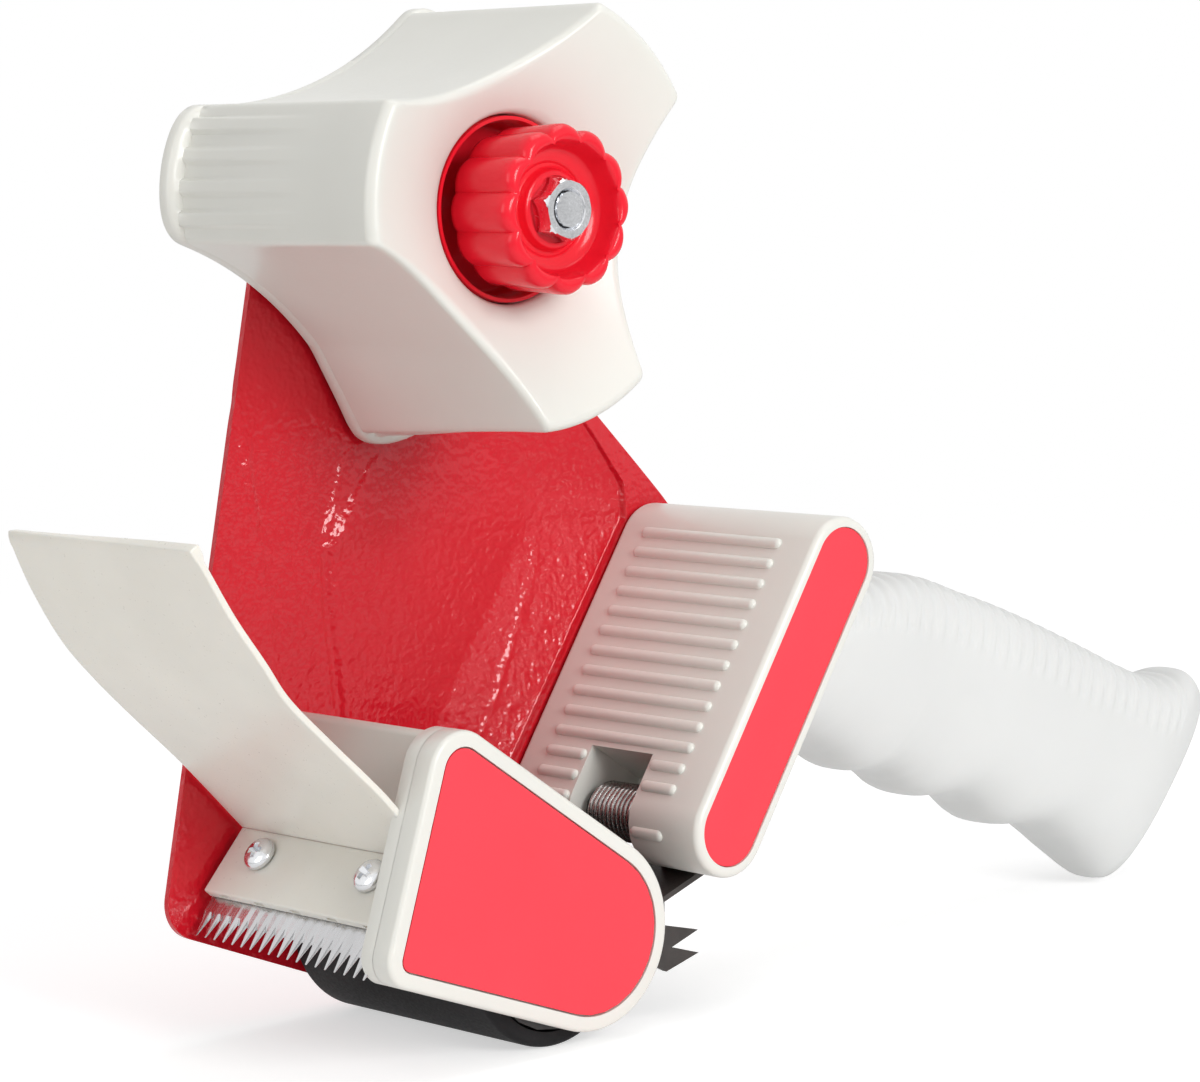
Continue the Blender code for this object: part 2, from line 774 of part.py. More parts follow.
def inlay_recess():
    """Depth of the pocket that an inlay sits in."""
    return INLAY_THICKNESS + INLAY_SETBACK + SEAT_GAP


def guard_wall():
    """The guard's front wall, from its rolled top down to the blade seat."""
    corner, down, out = bar_frame()
    seat = BAR_THICKNESS + BLADE_THICKNESS + 2.0 * SEAT_GAP
    low_front = corner + down * BAR_LENGTH - out * seat
    low_back = corner + down * (BAR_LENGTH - WALL_THICKNESS) - out * (seat + WALL_THICKNESS)
    elbow_front = corner - down * ELBOW_LIFT - out * seat
    elbow_back = elbow_front - out * WALL_THICKNESS - down * WALL_THICKNESS * ELBOW_SHARE
    radius = WALL_THICKNESS / 2.0
    rise = Vector((WALL_TOP_X, WALL_TOP_Z)) - elbow_front
    across = Vector((rise.y, -rise.x)).normalized()
    crown = Vector((WALL_TOP_X, WALL_TOP_Z - radius)) + across * radius
    turn = math.degrees(math.atan2(across.y, across.x))
    outline = [tuple(low_front), tuple(low_back), tuple(elbow_back)]
    outline += arc(crown.x, crown.y, radius, turn, turn + 180.0, 6)
    outline.append(tuple(elbow_front))
    wall = prism(outline, GUARD_INNER_Y - CUT_OVERRUN / 2.0, WEB_FRONT_Y - SEAT_GAP)
    for x, z in guard_boss_places():
        boss = rod(
            GUARD_BOSS_RADIUS, WEB_FRONT_Y - GUARD_BOSS_LENGTH, WEB_FRONT_Y - SEAT_GAP, x, z, SMALL_STEPS
        )
        merge(wall, boss)
    return wall


ELBOW_LIFT = 0.0012
ELBOW_SHARE = 0.35


def blade_screw_places():
    """Head seats of the two blade screws."""
    corner, down, out = bar_frame()
    spot = corner + down * SCREW_DOWN_BAR + out * SEAT_GAP
    near = flap_near_y() + SCREW_FROM_EDGE
    far = flap_near_y() + flap_width() - SCREW_FROM_EDGE
    return [Vector((spot.x, far, spot.y)), Vector((spot.x, near, spot.y))]


def blade_screw_hole(place):
    """Clearance for one blade screw through bar, blade and seat."""
    corner, down, out = bar_frame()
    reach = BLADE_SCREW_LENGTH + CUT_OVERRUN
    axis = Vector((-out.x, 0.0, -out.y))
    hole = rod(SCREW_SHANK_RADIUS + SEAT_GAP, -SEAT_GAP - CUT_OVERRUN / 2.0, reach, 0.0, 0.0)
    turn = Vector((0.0, 1.0, 0.0)).rotation_difference(axis).to_matrix().to_4x4()
    bmesh.ops.transform(hole, matrix=Matrix.Translation(place) @ turn, verts=hole.verts)
    return hole


def flap_near_y():
    """The open-side edge of the wiper flap and the blade."""
    return GUARD_INNER_Y + RUNNING_GAP


def flap_width():
    """Width of the wiper flap and the blade, up to a gap before the side plate."""
    return WEB_FRONT_Y - FLAP_FAR_GAP - flap_near_y()


def guard_inlay(materials, root):
    """The coloured plate let into the guard's open side."""
    outline = rounded_hull(shrink(guard_corners(), GUARD_RIM + SEAT_GAP))
    near = OPEN_SIDE_Y + INLAY_SETBACK
    return add_piece(
        "guard_inlay", prism(outline, near, near + INLAY_THICKNESS), materials["coral_inlay"], root
    )


FLAP_FACE_POINTS = (
    (BAR_CORNER_X, BAR_CORNER_Z),
    (-0.0402, 0.0497),
    (-0.0513, 0.0603),
    (-0.0586, 0.0676),
    (-0.0646, 0.0746),
    (-0.0702, 0.0836),
    (-0.0741, 0.0917),
    (-0.0745, 0.0944),
)
FLAP_CURVE_STEPS = 3


def flap_face():
    """Front face of the wiper flap, from the bar's corner to its free edge."""
    curve = smooth_through(FLAP_FACE_POINTS, FLAP_CURVE_STEPS)
    face = []
    last = len(curve) - 1
    for index, point in enumerate(curve):
        ahead = curve[min(index + 1, last)] - curve[max(index - 1, 0)]
        face.append((point, math.atan2(ahead.y, ahead.x)))
    return face


def wiper_flap(materials, root):
    """The milky wiper flap and the bar that clamps the blade, moulded in one."""
    corner, down, out = bar_frame()
    face = flap_face()
    front = [point for point, heading in face]
    rear = []
    for point, heading in face:
        side = Vector((math.sin(heading), -math.cos(heading)))
        rear.append(point + side * FLAP_THICKNESS)
    bar_back = BAR_THICKNESS
    heading = face[0][1]
    along = Vector((math.cos(heading), math.sin(heading)))
    inner = crossing(corner - out * bar_back, down, rear[0], along)
    tip, tip_heading = face[-1]
    side = Vector((math.sin(tip_heading), -math.cos(tip_heading)))
    ahead = Vector((math.cos(tip_heading), math.sin(tip_heading)))
    lip = [tip + side * (FLAP_THICKNESS + FLAP_LIP), tip + side * (FLAP_THICKNESS + FLAP_LIP)]
    lip[1] = lip[1] - ahead * FLAP_LIP_LENGTH
    outline = [corner + down * BAR_LENGTH, corner + down * BAR_LENGTH - out * bar_back, inner]
    outline += rear[1 : -1 - FLAP_CURVE_STEPS]
    outline += [tip + side * FLAP_THICKNESS - ahead * (FLAP_LIP_LENGTH + FLAP_LIP), lip[1], lip[0]]
    outline += list(reversed(front))
    near = flap_near_y()
    body = prism([tuple(point) for point in reversed(outline)], near, near + flap_width())
    flap = add_piece("wiper_flap", body, materials["milky_plastic"], root)
    cutters = bmesh.new()
    for place in blade_screw_places():
        merge(cutters, blade_screw_hole(place))
    for index in range(BAR_NOTCHES):
        merge(cutters, bar_notch(index))
    combine(flap, cutters, "DIFFERENCE")
    return flap


def crossing(point_a, along_a, point_b, along_b):
    """Where two lines in the XZ plane meet."""
    gap = point_b - point_a
    spread = along_a.x * along_b.y - along_a.y * along_b.x
    travel = (gap.x * along_b.y - gap.y * along_b.x) / spread
    return point_a + along_a * travel


def bar_notch(index):
    """A moulded slot in the foot of the blade bar."""
    corner, down, out = bar_frame()
    middle = flap_near_y() + flap_width() * (index + 0.5) / BAR_NOTCHES
    foot = corner + down * BAR_LENGTH
    outline = [
        foot - out * (BAR_THICKNESS * NOTCH_IN_SHARE) - down * BAR_NOTCH_DEPTH,
        foot - out * (BAR_THICKNESS + CUT_OVERRUN) - down * BAR_NOTCH_DEPTH,
        foot - out * (BAR_THICKNESS + CUT_OVERRUN) + down * CUT_OVERRUN,
        foot - out * (BAR_THICKNESS * NOTCH_IN_SHARE) + down * CUT_OVERRUN,
    ]
    half = BAR_NOTCH_WIDTH / 2.0
    return prism([tuple(point) for point in outline], middle - half, middle + half)


NOTCH_IN_SHARE = 0.4


def cutter_blade(materials, root):
    """The saw-toothed blade, clamped between the bar and the guard."""
    corner, down, out = bar_frame()
    near = flap_near_y()
    top = BLADE_TOP_MARGIN
    root_line = BAR_LENGTH + BLADE_SHOW
    tip_line = root_line + BLADE_TOOTH_LENGTH
    pitch = flap_width() / BLADE_TEETH
    plan = [(near, top), (near, root_line)]
    for tooth in range(BLADE_TEETH):
        plan.append((near + pitch * (tooth + 0.5), tip_line))
        if tooth < BLADE_TEETH - 1:
            plan.append((near + pitch * (tooth + 1.0), root_line))
    plan += [(near + flap_width(), root_line), (near + flap_width(), top)]
    shallow = BAR_THICKNESS + SEAT_GAP
    deep = shallow + BLADE_THICKNESS
    faces = []
    for depth in (shallow, deep):
        ring = []
        for y, along in plan:
            spot = corner + down * along - out * depth
            ring.append((spot.x, y, spot.y))
        faces.append(ring)
    blade = add_piece("cutter_blade", loft(faces), materials["blade_steel"], root)
    cutters = bmesh.new()
    for place in blade_screw_places():
        merge(cutters, blade_screw_hole(place))
    combine(blade, cutters, "DIFFERENCE")
    return blade


def blade_screws(materials, root):
    """The two screws that clamp the bar and the blade."""
    corner, down, out = bar_frame()
    direction = (-out.x, 0.0, -out.y)
    for index, place in enumerate(blade_screw_places()):
        add_screw(
            "blade_screw_%d" % (index + 1), place, direction, BLADE_SCREW_LENGTH, materials["zinc"], root
        )


def roller(materials, axis, root):
    """Rubber sleeve and core on the roller's axis, with the fixed axle."""
    near = GUARD_INNER_Y + RUNNING_GAP
    far = WEB_FRONT_Y - RUNNING_GAP
    inner = ROLLER_RADIUS - ROLLER_RUBBER
    edge = ROLLER_EDGE_ROUND
    soft = edge * EDGE_SOFT_SHARE
    profile = [
        (inner, near),
        (ROLLER_RADIUS - edge, near),
        (ROLLER_RADIUS - soft, near + soft),
        (ROLLER_RADIUS, near + edge),
        (ROLLER_RADIUS, far - edge),
        (ROLLER_RADIUS - soft, far - soft),
        (ROLLER_RADIUS - edge, far),
        (inner, far),
    ]
    sleeve = lathe(profile, ROLLER_X, ROLLER_RADIUS, ROUND_STEPS, closed=True)
    add_piece("roller_sleeve", sleeve, materials["rubber"], axis)
    outer = inner - SEAT_GAP
    bore = ROLLER_AXLE_RADIUS + SEAT_GAP
    web = ROLLER_CORE_WALL
    recess = (far - near) * CORE_RECESS_SHARE
    profile = [
        (bore, near),
        (bore + web, near),
        (bore + web, near + recess),
        (outer - web, near + recess),
        (outer - web, near),
        (outer, near),
        (outer, far),
        (outer - web, far),
        (outer - web, far - recess),
        (bore + web, far - recess),
        (bore + web, far),
        (bore, far),
    ]
    core = lathe(profile, ROLLER_X, ROLLER_RADIUS, ROUND_STEPS // 2, closed=True)
    add_piece("roller_core", core, materials["core_plastic"], axis)
    start = OPEN_SIDE_Y + inlay_recess() + AXLE_END_WALL + SEAT_GAP
    end = WEB_BACK_Y + SEAT_GAP + AXLE_NUT_HEIGHT + AXLE_THREAD_PROUD
    axle = rod(ROLLER_AXLE_RADIUS, start, end, ROLLER_X, ROLLER_RADIUS)
    add_piece("roller_axle", axle, materials["zinc"], root)
    nut_from = WEB_BACK_Y + SEAT_GAP
    nut = hexagon(
        AXLE_NUT_FLATS + ROLLER_AXLE_RADIUS, nut_from, nut_from + AXLE_NUT_HEIGHT, ROLLER_X, ROLLER_RADIUS
    )
    nut = add_piece("roller_axle_nut", nut, materials["zinc"], root)
    hole = rod(
        ROLLER_AXLE_RADIUS + SEAT_GAP,
        nut_from - CUT_OVERRUN,
        nut_from + AXLE_NUT_HEIGHT + CUT_OVERRUN,
        ROLLER_X,
        ROLLER_RADIUS,
    )
    combine(nut, hole, "DIFFERENCE")


EDGE_SOFT_SHARE = 0.3
CORE_RECESS_SHARE = 0.28


def notch_span():
    """Far and near edges of the notch in the housing, along Y."""
    side = HOUSING_DEPTH * NOTCH_SIDE_SHARE
    return -side, side - HOUSING_DEPTH


def rear_housing(materials, root):
    """The ribbed block that holds the handle and the retention plate's pin."""
    outline = rounded_hull(housing_corners(HOUSING_HALF))
    block = prism(outline, OPEN_SIDE_Y, -SEAT_GAP)
    housing = add_piece("rear_housing", block, materials["warm_plastic"], root)
    soften(housing, HOUSING_EDGE_ROUND, 1, 60.0)
    ribs = bmesh.new()
    for index in range(RIBS):
        merge(ribs, housing_rib(index))
    combine(housing, ribs, "UNION")
    cutters = housing_notch()
    inlay = rounded_hull(housing_corners(HOUSING_HALF - HOUSING_RIM))
    merge(cutters, prism(inlay, OPEN_SIDE_Y - CUT_OVERRUN, OPEN_SIDE_Y + inlay_recess()))
    combine(housing, cutters, "DIFFERENCE")
    bores = rod(
        PIN_RADIUS + SEAT_GAP,
        OPEN_SIDE_Y + inlay_recess() + PIN_END_WALL,
        -PIN_END_WALL,
        HOUSING_FOOT_X,
        HOUSING_FOOT_Z,
        SMALL_STEPS,
    )
    for name, x, z, seat in frame_screw_places():
        if not name.startswith("guard"):
            depth = frame_screw_length(name) + CUT_OVERRUN
            hole = rod(SCREW_SHANK_RADIUS + SEAT_GAP, seat - depth, CUT_OVERRUN, x, z, SMALL_STEPS)
            merge(bores, hole)
    combine(housing, bores, "DIFFERENCE")
    combine(housing, handle_spigot(SEAT_GAP), "DIFFERENCE")
    return housing


def housing_rib(index):
    """One moulded rib across the ribbed face, with sloping ends."""
    top, foot, down, out = housing_frame()
    pitch = ((foot - top).length - RIB_FIRST - RIB_LAST) / (RIBS - 1)
    along = RIB_FIRST + pitch * index
    centre = top + out * HOUSING_HALF + down * along
    near = OPEN_SIDE_Y + RIB_END_MARGIN
    far = -RIB_START
    base = out * -RIB_HEIGHT
    rings = []
    stations = ((near, 0.0), (near + RIB_HEIGHT, 1.0), (far - RIB_HEIGHT, 1.0), (far, 0.0))
    for y, lift in stations:
        ring = []
        for across, height in RIB_SHARES:
            spot = centre + down * RIB_HALF_WIDTH * across + base
            spot = spot + out * RIB_HEIGHT * (1.0 + height * lift)
            if height < 0.0:
                spot = centre + down * RIB_HALF_WIDTH * across + base
            ring.append((spot.x, y, spot.y))
        rings.append(ring)
    return loft(rings)


RIB_SHARES = ((-1.0, -1.0), (-1.0, 0.0), (-0.6, 0.8), (0.0, 1.0), (0.6, 0.8), (1.0, 0.0), (1.0, -1.0))


def housing_notch():
    """The window in the housing's foot, open to the front and below."""
    top, foot, down, out = housing_frame()
    ceiling = foot - down * NOTCH_HEIGHT
    rear_wall = HOUSING_HALF - NOTCH_REAR_WALL
    face = out * (HOUSING_HALF + RIB_HEIGHT + CUT_OVERRUN)
    below = HOUSING_FOOT_Z - HOUSING_HALF - CUT_OVERRUN
    outline = [
        tuple(ceiling + face),
        tuple(ceiling - out * rear_wall),
        tuple(foot - out * rear_wall - down * HOUSING_HALF * NOTCH_LIFT_SHARE),
        (foot.x + HOUSING_HALF + CUT_OVERRUN, foot.y - HOUSING_HALF * NOTCH_MOUTH_SHARE),
        (foot.x + HOUSING_HALF + CUT_OVERRUN, below),
        (foot.x - HOUSING_HALF - CUT_OVERRUN, below),
        tuple(foot + face),
    ]
    far, near = notch_span()
    return prism(outline, near, far)


NOTCH_MOUTH_SHARE = 0.25
NOTCH_LIFT_SHARE = 0.31


def housing_inlay(materials, root):
    """The coloured plate let into the housing's open side."""
    outline = rounded_hull(housing_corners(HOUSING_HALF - HOUSING_RIM - SEAT_GAP))
    near = OPEN_SIDE_Y + INLAY_SETBACK
    return add_piece(
        "housing_inlay", prism(outline, near, near + INLAY_THICKNESS), materials["coral_inlay"], root
    )


def retainer_frame():
    """Start of the retention plate's web under the pin, its heading and normal."""
    slope = math.radians(RETAINER_SLOPE)
    along = Vector((-math.cos(slope), -math.sin(slope)))
    normal = Vector((math.sin(slope), -math.cos(slope)))
    start = Vector((HOUSING_FOOT_X, HOUSING_FOOT_Z)) + normal * (HOUSING_HALF + RETAINER_GAP)
    return start, along, normal


def retainer_reach():
    """How far the web runs forward before it meets the roller."""
    start, along, normal = retainer_frame()
    hub = Vector((ROLLER_X, ROLLER_RADIUS))
    offset = start - hub
    clear = ROLLER_RADIUS + SEAT_GAP
    half_b = offset.dot(along)
    root_term = half_b * half_b - offset.dot(offset) + clear * clear
    return -half_b - math.sqrt(root_term)


def retention_plate(materials, axis):
    """Sprung steel flap: web with a toothed edge, two ears and two toothed cheeks."""
    start, along, normal = retainer_frame()
    reach = retainer_reach() - RETAINER_TOE
    near = GUARD_INNER_Y + RETAINER_MARGIN
    far = -RETAINER_FAR_GAP
    plan = [(near, -RETAINER_REAR), (near, reach - RETAINER_TOOTH_LENGTH)]
    pitch = (far - near) / RETAINER_TEETH
    for tooth in range(RETAINER_TEETH):
        plan.append((near + pitch * (tooth + 0.5), reach))
        if tooth < RETAINER_TEETH - 1:
            plan.append((near + pitch * (tooth + 1.0), reach - RETAINER_TOOTH_LENGTH))
    plan += [(far, reach - RETAINER_TOOTH_LENGTH), (far, -RETAINER_REAR)]
    rings = []
    for depth in (0.0, SHEET):
        ring = []
        for y, run in plan:
            spot = start + along * run + normal * depth
            ring.append((spot.x, y, spot.y))
        rings.append(ring)
    plate = add_piece("retention_plate", loft(rings), materials["dark_steel"], axis)
    extras = bmesh.new()
    for y in ear_places():
        merge(extras, retainer_ear(y))
    for y in (near, far - SHEET):
        merge(extras, retainer_cheek(y, reach))
    combine(plate, extras, "UNION")
    bore = rod(
        PIN_RADIUS + SEAT_GAP, OPEN_SIDE_Y, CUT_OVERRUN, HOUSING_FOOT_X, HOUSING_FOOT_Z, SMALL_STEPS
    )
    combine(plate, bore, "DIFFERENCE")
    return plate


RETAINER_TOE = 0.0004


def ear_places():
    """Near faces of the two ears that carry the retention plate on its pin."""
    far, near = notch_span()
    return [near + RUNNING_GAP, far - RUNNING_GAP - EAR_THICKNESS]


def retainer_ear(y):
    """One rounded ear, from the pin down to the web."""
    start, along, normal = retainer_frame()
    foot = Vector((HOUSING_FOOT_X, HOUSING_FOOT_Z))
    heading = math.degrees(math.atan2(normal.y, normal.x))
    outline = arc(foot.x, foot.y, EAR_RADIUS, heading + 90.0, heading + 270.0, 8)
    low = start + normal * SHEET * 0.5
    outline.append(tuple(low + along * EAR_HALF_WIDTH))
    outline.append(tuple(low - along * EAR_HALF_WIDTH))
    return prism(outline, y, y + EAR_THICKNESS)


def retainer_cheek(y, reach):
    """A side cheek that hangs from the web and ends in teeth towards the handle."""
    start, along, normal = retainer_frame()
    level = start + along * reach * CHEEK_BACK_SHARE
    top_back = level + normal * SHEET * 0.5
    front = start + along * (reach - RETAINER_TOOTH_LENGTH) + normal * SHEET * 0.5
    base_x = top_back.x
    low_z = top_back.y - CHEEK_DEPTH - CHEEK_TOOTH_PITCH * CHEEK_TEETH * 0.5
    outline = [tuple(front), tuple(top_back)]
    tooth_top = low_z + CHEEK_TOOTH_PITCH * CHEEK_TEETH
    outline.append((base_x, tooth_top))
    for tooth in range(CHEEK_TEETH):
        tip_z = tooth_top - CHEEK_TOOTH_PITCH * (tooth + 0.5)
        outline.append((base_x + CHEEK_TOOTH_LENGTH, tip_z))
        valley = CHEEK_TOOTH_LENGTH * CHEEK_VALLEY_SHARE if tooth < CHEEK_TEETH - 1 else 0.0
        outline.append((base_x + valley, tip_z - CHEEK_TOOTH_PITCH / 2.0))
    outline.append((front.x + SHEET, low_z + CHEEK_TOOTH_PITCH))
    return prism(outline, y, y + SHEET)


CHEEK_VALLEY_SHARE = 0.19


def retention_pin(materials, root):
    """The pin through the housing's foot, on which the retention plate swings."""
    start = OPEN_SIDE_Y + inlay_recess() + PIN_END_WALL + SEAT_GAP
    end = -PIN_END_WALL - SEAT_GAP
    pin = rod(PIN_RADIUS, start, end, HOUSING_FOOT_X, HOUSING_FOOT_Z, SMALL_STEPS)
    add_piece("retention_pin", pin, materials["zinc"], root)


def torsion_spring(materials, root):
    """The coil that presses the retention plate against the roller."""
    top, foot, down, out = housing_frame()
    near_ear, far_ear = ear_places()
    gap = SEAT_GAP + TORSION_WIRE_RADIUS
    y_near = near_ear + EAR_THICKNESS + gap
    y_far = far_ear - gap
    steps = SMALL_STEPS - 4
    count = TORSION_TURNS * steps
    start_angle = math.atan2(-out.y, -out.x)
    path = []
    wall = HOUSING_HALF - NOTCH_REAR_WALL - gap
    leg_up = foot - out * wall - down * TORSION_LEG
    path.append(Vector((leg_up.x, y_far, leg_up.y)))
    for step in range(count + 1):
        angle = start_angle - math.tau * step / steps
        y = y_far + (y_near - y_far) * step / count
        spot = foot + Vector((math.cos(angle), math.sin(angle))) * TORSION_RADIUS
        path.append(Vector((spot.x, y, spot.y)))
    last = path[-1]
    start, along, normal = retainer_frame()
    leg_down = start + along * TORSION_LEG * LEG_DOWN_SHARE - normal * gap
    path.append(Vector((leg_down.x, last.y, leg_down.y)))
    add_piece("torsion_spring", wire(path, TORSION_WIRE_RADIUS, 6), materials["dark_steel"], root)


LEG_DOWN_SHARE = 0.65


def handle_lines():
    """Top and underside of the handle in side view, from the housing to the butt."""
    top, foot, down, out = housing_frame()
    rear = -out * (HOUSING_HALF + SEAT_GAP)
    root_top = top + rear + down * HANDLE_ROOT_TOP
    root_low = top + rear + down * HANDLE_ROOT_LOW
    upper = [root_top] + [Vector(point) for point in HANDLE_TOP_POINTS]
    lower = [root_low] + [Vector(point) for point in HANDLE_LOW_POINTS]
    return upper, lower


HANDLE_ROOT_TOP = 0.0030
HANDLE_ROOT_LOW = 0.0375
HANDLE_TOP_POINTS = (
    (0.1041, 0.0707),
    (0.1248, 0.0648),
    (0.1430, 0.0568),
    (0.1621, 0.0478),
    (0.1779, 0.0418),
    (0.1909, 0.0414),
    (0.2003, 0.0340),
)
HANDLE_LOW_POINTS = (
    (0.0835, 0.0385),
    (0.0990, 0.0316),
    (0.1160, 0.0250),
    (0.1330, 0.0182),
    (0.1475, 0.0136),
    (0.1590, 0.0050),
    (0.1715, 0.0006),
)
HANDLE_WAVE_START_INDEX = 2
HANDLE_RING_POINTS = 24
HANDLE_SQUARE = 2.6


def handle(materials, root):
    """The grip, lofted from the housing to its flared butt."""
    upper, lower = handle_lines()
    spans = len(upper) - 1
    steps = math.ceil(2.0 * HANDLE_RIBS / (spans - 1))
    top_curve = smooth_through(upper, steps)
    low_curve = smooth_through(lower, steps)
    rings = []
    total = len(top_curve) - 1
    middle = -HOUSING_DEPTH / 2.0
    for index in range(total + 1):
        share = index / total
        width = handle_half_width(share)
        low = finger_wave(low_curve[index])
        ribbed = 1.0 if steps * HANDLE_RIB_START <= index <= total - steps * HANDLE_RIB_STOP else 0.0
        lift = HANDLE_RIB_HEIGHT * ribbed * (index % 2)
        rings.append(handle_ring(top_curve[index], low, width, middle, lift))
    rings += handle_butt(top_curve[total], finger_wave(low_curve[total]), handle_half_width(1.0), middle)
    grip = add_piece("handle", loft(rings), materials["grip_plastic"], root)
    combine(grip, handle_spigot(0.0), "UNION")
    holes = bmesh.new()
    for name, x, z, seat in frame_screw_places():
        if name.startswith("handle"):
            depth = frame_screw_length(name) + CUT_OVERRUN
            hole = rod(SCREW_SHANK_RADIUS + SEAT_GAP, seat - depth, CUT_OVERRUN, x, z, SMALL_STEPS)
            merge(holes, hole)
    combine(grip, holes, "DIFFERENCE")
    return grip


HANDLE_RIB_START = 0.3
HANDLE_RIB_STOP = 0.6


def handle_half_width(share):
    """Half of the handle's width along its length."""
    neck = HANDLE_ROOT_HALF_WIDTH + (HANDLE_HALF_WIDTH - HANDLE_ROOT_HALF_WIDTH) * min(1.0, share * 3.0)
    swell = HANDLE_SWELL * math.sin(math.pi * min(1.0, max(0.0, share * 1.6 - 0.6)))
    return neck + swell


HANDLE_SWELL = 0.0008


def finger_wave(point):
    """Shift an underside point by the finger grooves."""
    upper, lower = handle_lines()
    first = lower[HANDLE_WAVE_START_INDEX]
    run = (point.x - first.x) / FINGER_PITCH
    if run < -HANDLE_WAVE_LEAD or run > HANDLE_WAVES:
        return point
    wave = math.cos(math.tau * run)
    return Vector((point.x, point.y + FINGER_WAVE * wave))


HANDLE_WAVE_LEAD = 0.25
HANDLE_WAVES = 2.25


def handle_ring(top, low, half_width, middle, lift):
    """One rounded section between an upper and a lower point."""
    centre = (top + low) / 2.0
    half = (top - low) / 2.0
    unit = half.normalized()
    ring = []
    for step in range(HANDLE_RING_POINTS):
        angle = math.tau * step / HANDLE_RING_POINTS
        rise = super_cos(math.cos(angle))
        side = super_cos(math.sin(angle))
        spot = centre + half * rise
        crest = max(0.0, min(1.0, (rise - RIB_FADE_SHARE) / (1.0 - RIB_FADE_SHARE) * 2.0))
        spot = spot + unit * lift * crest * max(0.0, rise)
        reach = half_width + lift * crest * abs(side)
        ring.append((spot.x, middle + reach * side, spot.y))
    return ring


RIB_FADE_SHARE = 0.25


def super_cos(value):
    """Square up a sine or cosine so that the section has flatter sides."""
    return math.copysign(abs(value) ** (2.0 / HANDLE_SQUARE), value)


def handle_butt(top, low, half_width, middle):
    """Closing rings of the handle's rounded end."""
    out = Vector(((top - low).y, -(top - low).x)).normalized()
    rings = []
    for step in range(1, BUTT_RINGS + 1):
        angle = math.pi / 2.0 * step / (BUTT_RINGS + 0.6)
        shrink_share = math.cos(angle)
        centre = (top + low) / 2.0 + out * HANDLE_END_BULGE * math.sin(angle)
        half = (top - low) / 2.0 * shrink_share
        rings.append(handle_ring(centre + half, centre - half, half_width * shrink_share, middle, 0.0))
    return rings


BUTT_RINGS = 5


def handle_spigot(gap):
    """The stub at the handle's root that plugs into the housing."""
    top, foot, down, out = housing_frame()
    upper, lower = handle_lines()
    start = upper[0] + down * (SPIGOT_INSET - gap)
    end = lower[0] - down * (SPIGOT_INSET - gap)
    depth = out * (SPIGOT_LENGTH + gap)
    back = -out * CUT_OVERRUN
    outline = [start + back, start + depth, end + depth, end + back]
    middle = -HOUSING_DEPTH / 2.0
    half = SPIGOT_HALF_WIDTH + gap
    return prism([tuple(point) for point in outline], middle - half, middle + half)


def frame_screws(materials, root):
    """Screws from the back of the side plate into housing, handle and guard."""
    for name, x, z, seat in frame_screw_places():
        tip = Vector((x, seat + SEAT_GAP, z))
        add_screw(name, tip, (0.0, -1.0, 0.0), frame_screw_length(name), materials["zinc"], root)


def hub_outline(lip=0.0):
    """The hub's three-armed outline about its axis, with its tips raised by a lip."""
    outline = []
    spread = 360.0 / HUB_ARMS
    for arm in range(HUB_ARMS):
        middle = 180.0 + HUB_TURN + spread * arm
        if lip > 0.0:
            outline += flange_tip(middle, lip)
        else:
            start = middle - HUB_ARM_HALF_ANGLE
            outline += arc(0.0, HUB_HEIGHT, HUB_RADIUS, start, middle + HUB_ARM_HALF_ANGLE, 6)
        outline += hub_valley(middle + spread / 2.0, spread)
    return outline


def flange_tip(middle, lip):
    """One rounded tip of the flange, standing past the end of its arm."""
    half = math.radians(HUB_ARM_HALF_ANGLE)
    corner_out = HUB_RADIUS * math.cos(half)
    corner_side = HUB_RADIUS * math.sin(half)
    crown = HUB_RADIUS + lip
    points = []
    for out_share, side_share in FLANGE_TIP_SHARES:
        points.append((corner_out + (crown - corner_out) * out_share, corner_side * side_share))
    turn = math.radians(middle)
    tip = []
    for spot in smooth_through(points, FLANGE_TIP_STEPS):
        x = spot.x * math.cos(turn) - spot.y * math.sin(turn)
        z = spot.x * math.sin(turn) + spot.y * math.cos(turn)
        tip.append((x, HUB_HEIGHT + z))
    return tip


FLANGE_TIP_SHARES = ((0.0, -1.0), (0.62, -0.89), (0.94, -0.5), (1.0, 0.0), (0.94, 0.5), (0.62, 0.89), (0.0, 1.0))
FLANGE_TIP_STEPS = 2


def hub_valley(middle, spread):
    """The hollow between two arms, as one shallow arc."""
    half = math.radians(spread / 2.0 - HUB_ARM_HALF_ANGLE)
    edge_out = HUB_RADIUS * math.cos(half)
    edge_side = HUB_RADIUS * math.sin(half)
    sag = edge_out - HUB_VALLEY_RADIUS
    radius = (edge_side * edge_side + sag * sag) / (2.0 * sag)
    sweep = math.degrees(math.asin(edge_side / radius))
    turn = math.radians(middle)
    points = []
    for step in range(1, VALLEY_STEPS):
        angle = math.radians(sweep * (2.0 * step / VALLEY_STEPS - 1.0))
        out = HUB_VALLEY_RADIUS + radius * (1.0 - math.cos(angle))
        side = radius * math.sin(angle)
        x = out * math.cos(turn) - side * math.sin(turn)
        z = out * math.sin(turn) + side * math.cos(turn)
        points.append((x, HUB_HEIGHT + z))
    return points


VALLEY_STEPS = 8


def hub_planes():
    """Y of the hub's back face, its flange's front face and its open face."""
    back = WEB_FRONT_Y - 2.0 * SEAT_GAP - FRICTION_WASHER_THICKNESS
    flange = back - HUB_FLANGE_THICKNESS
    return back, flange, flange - HUB_LENGTH


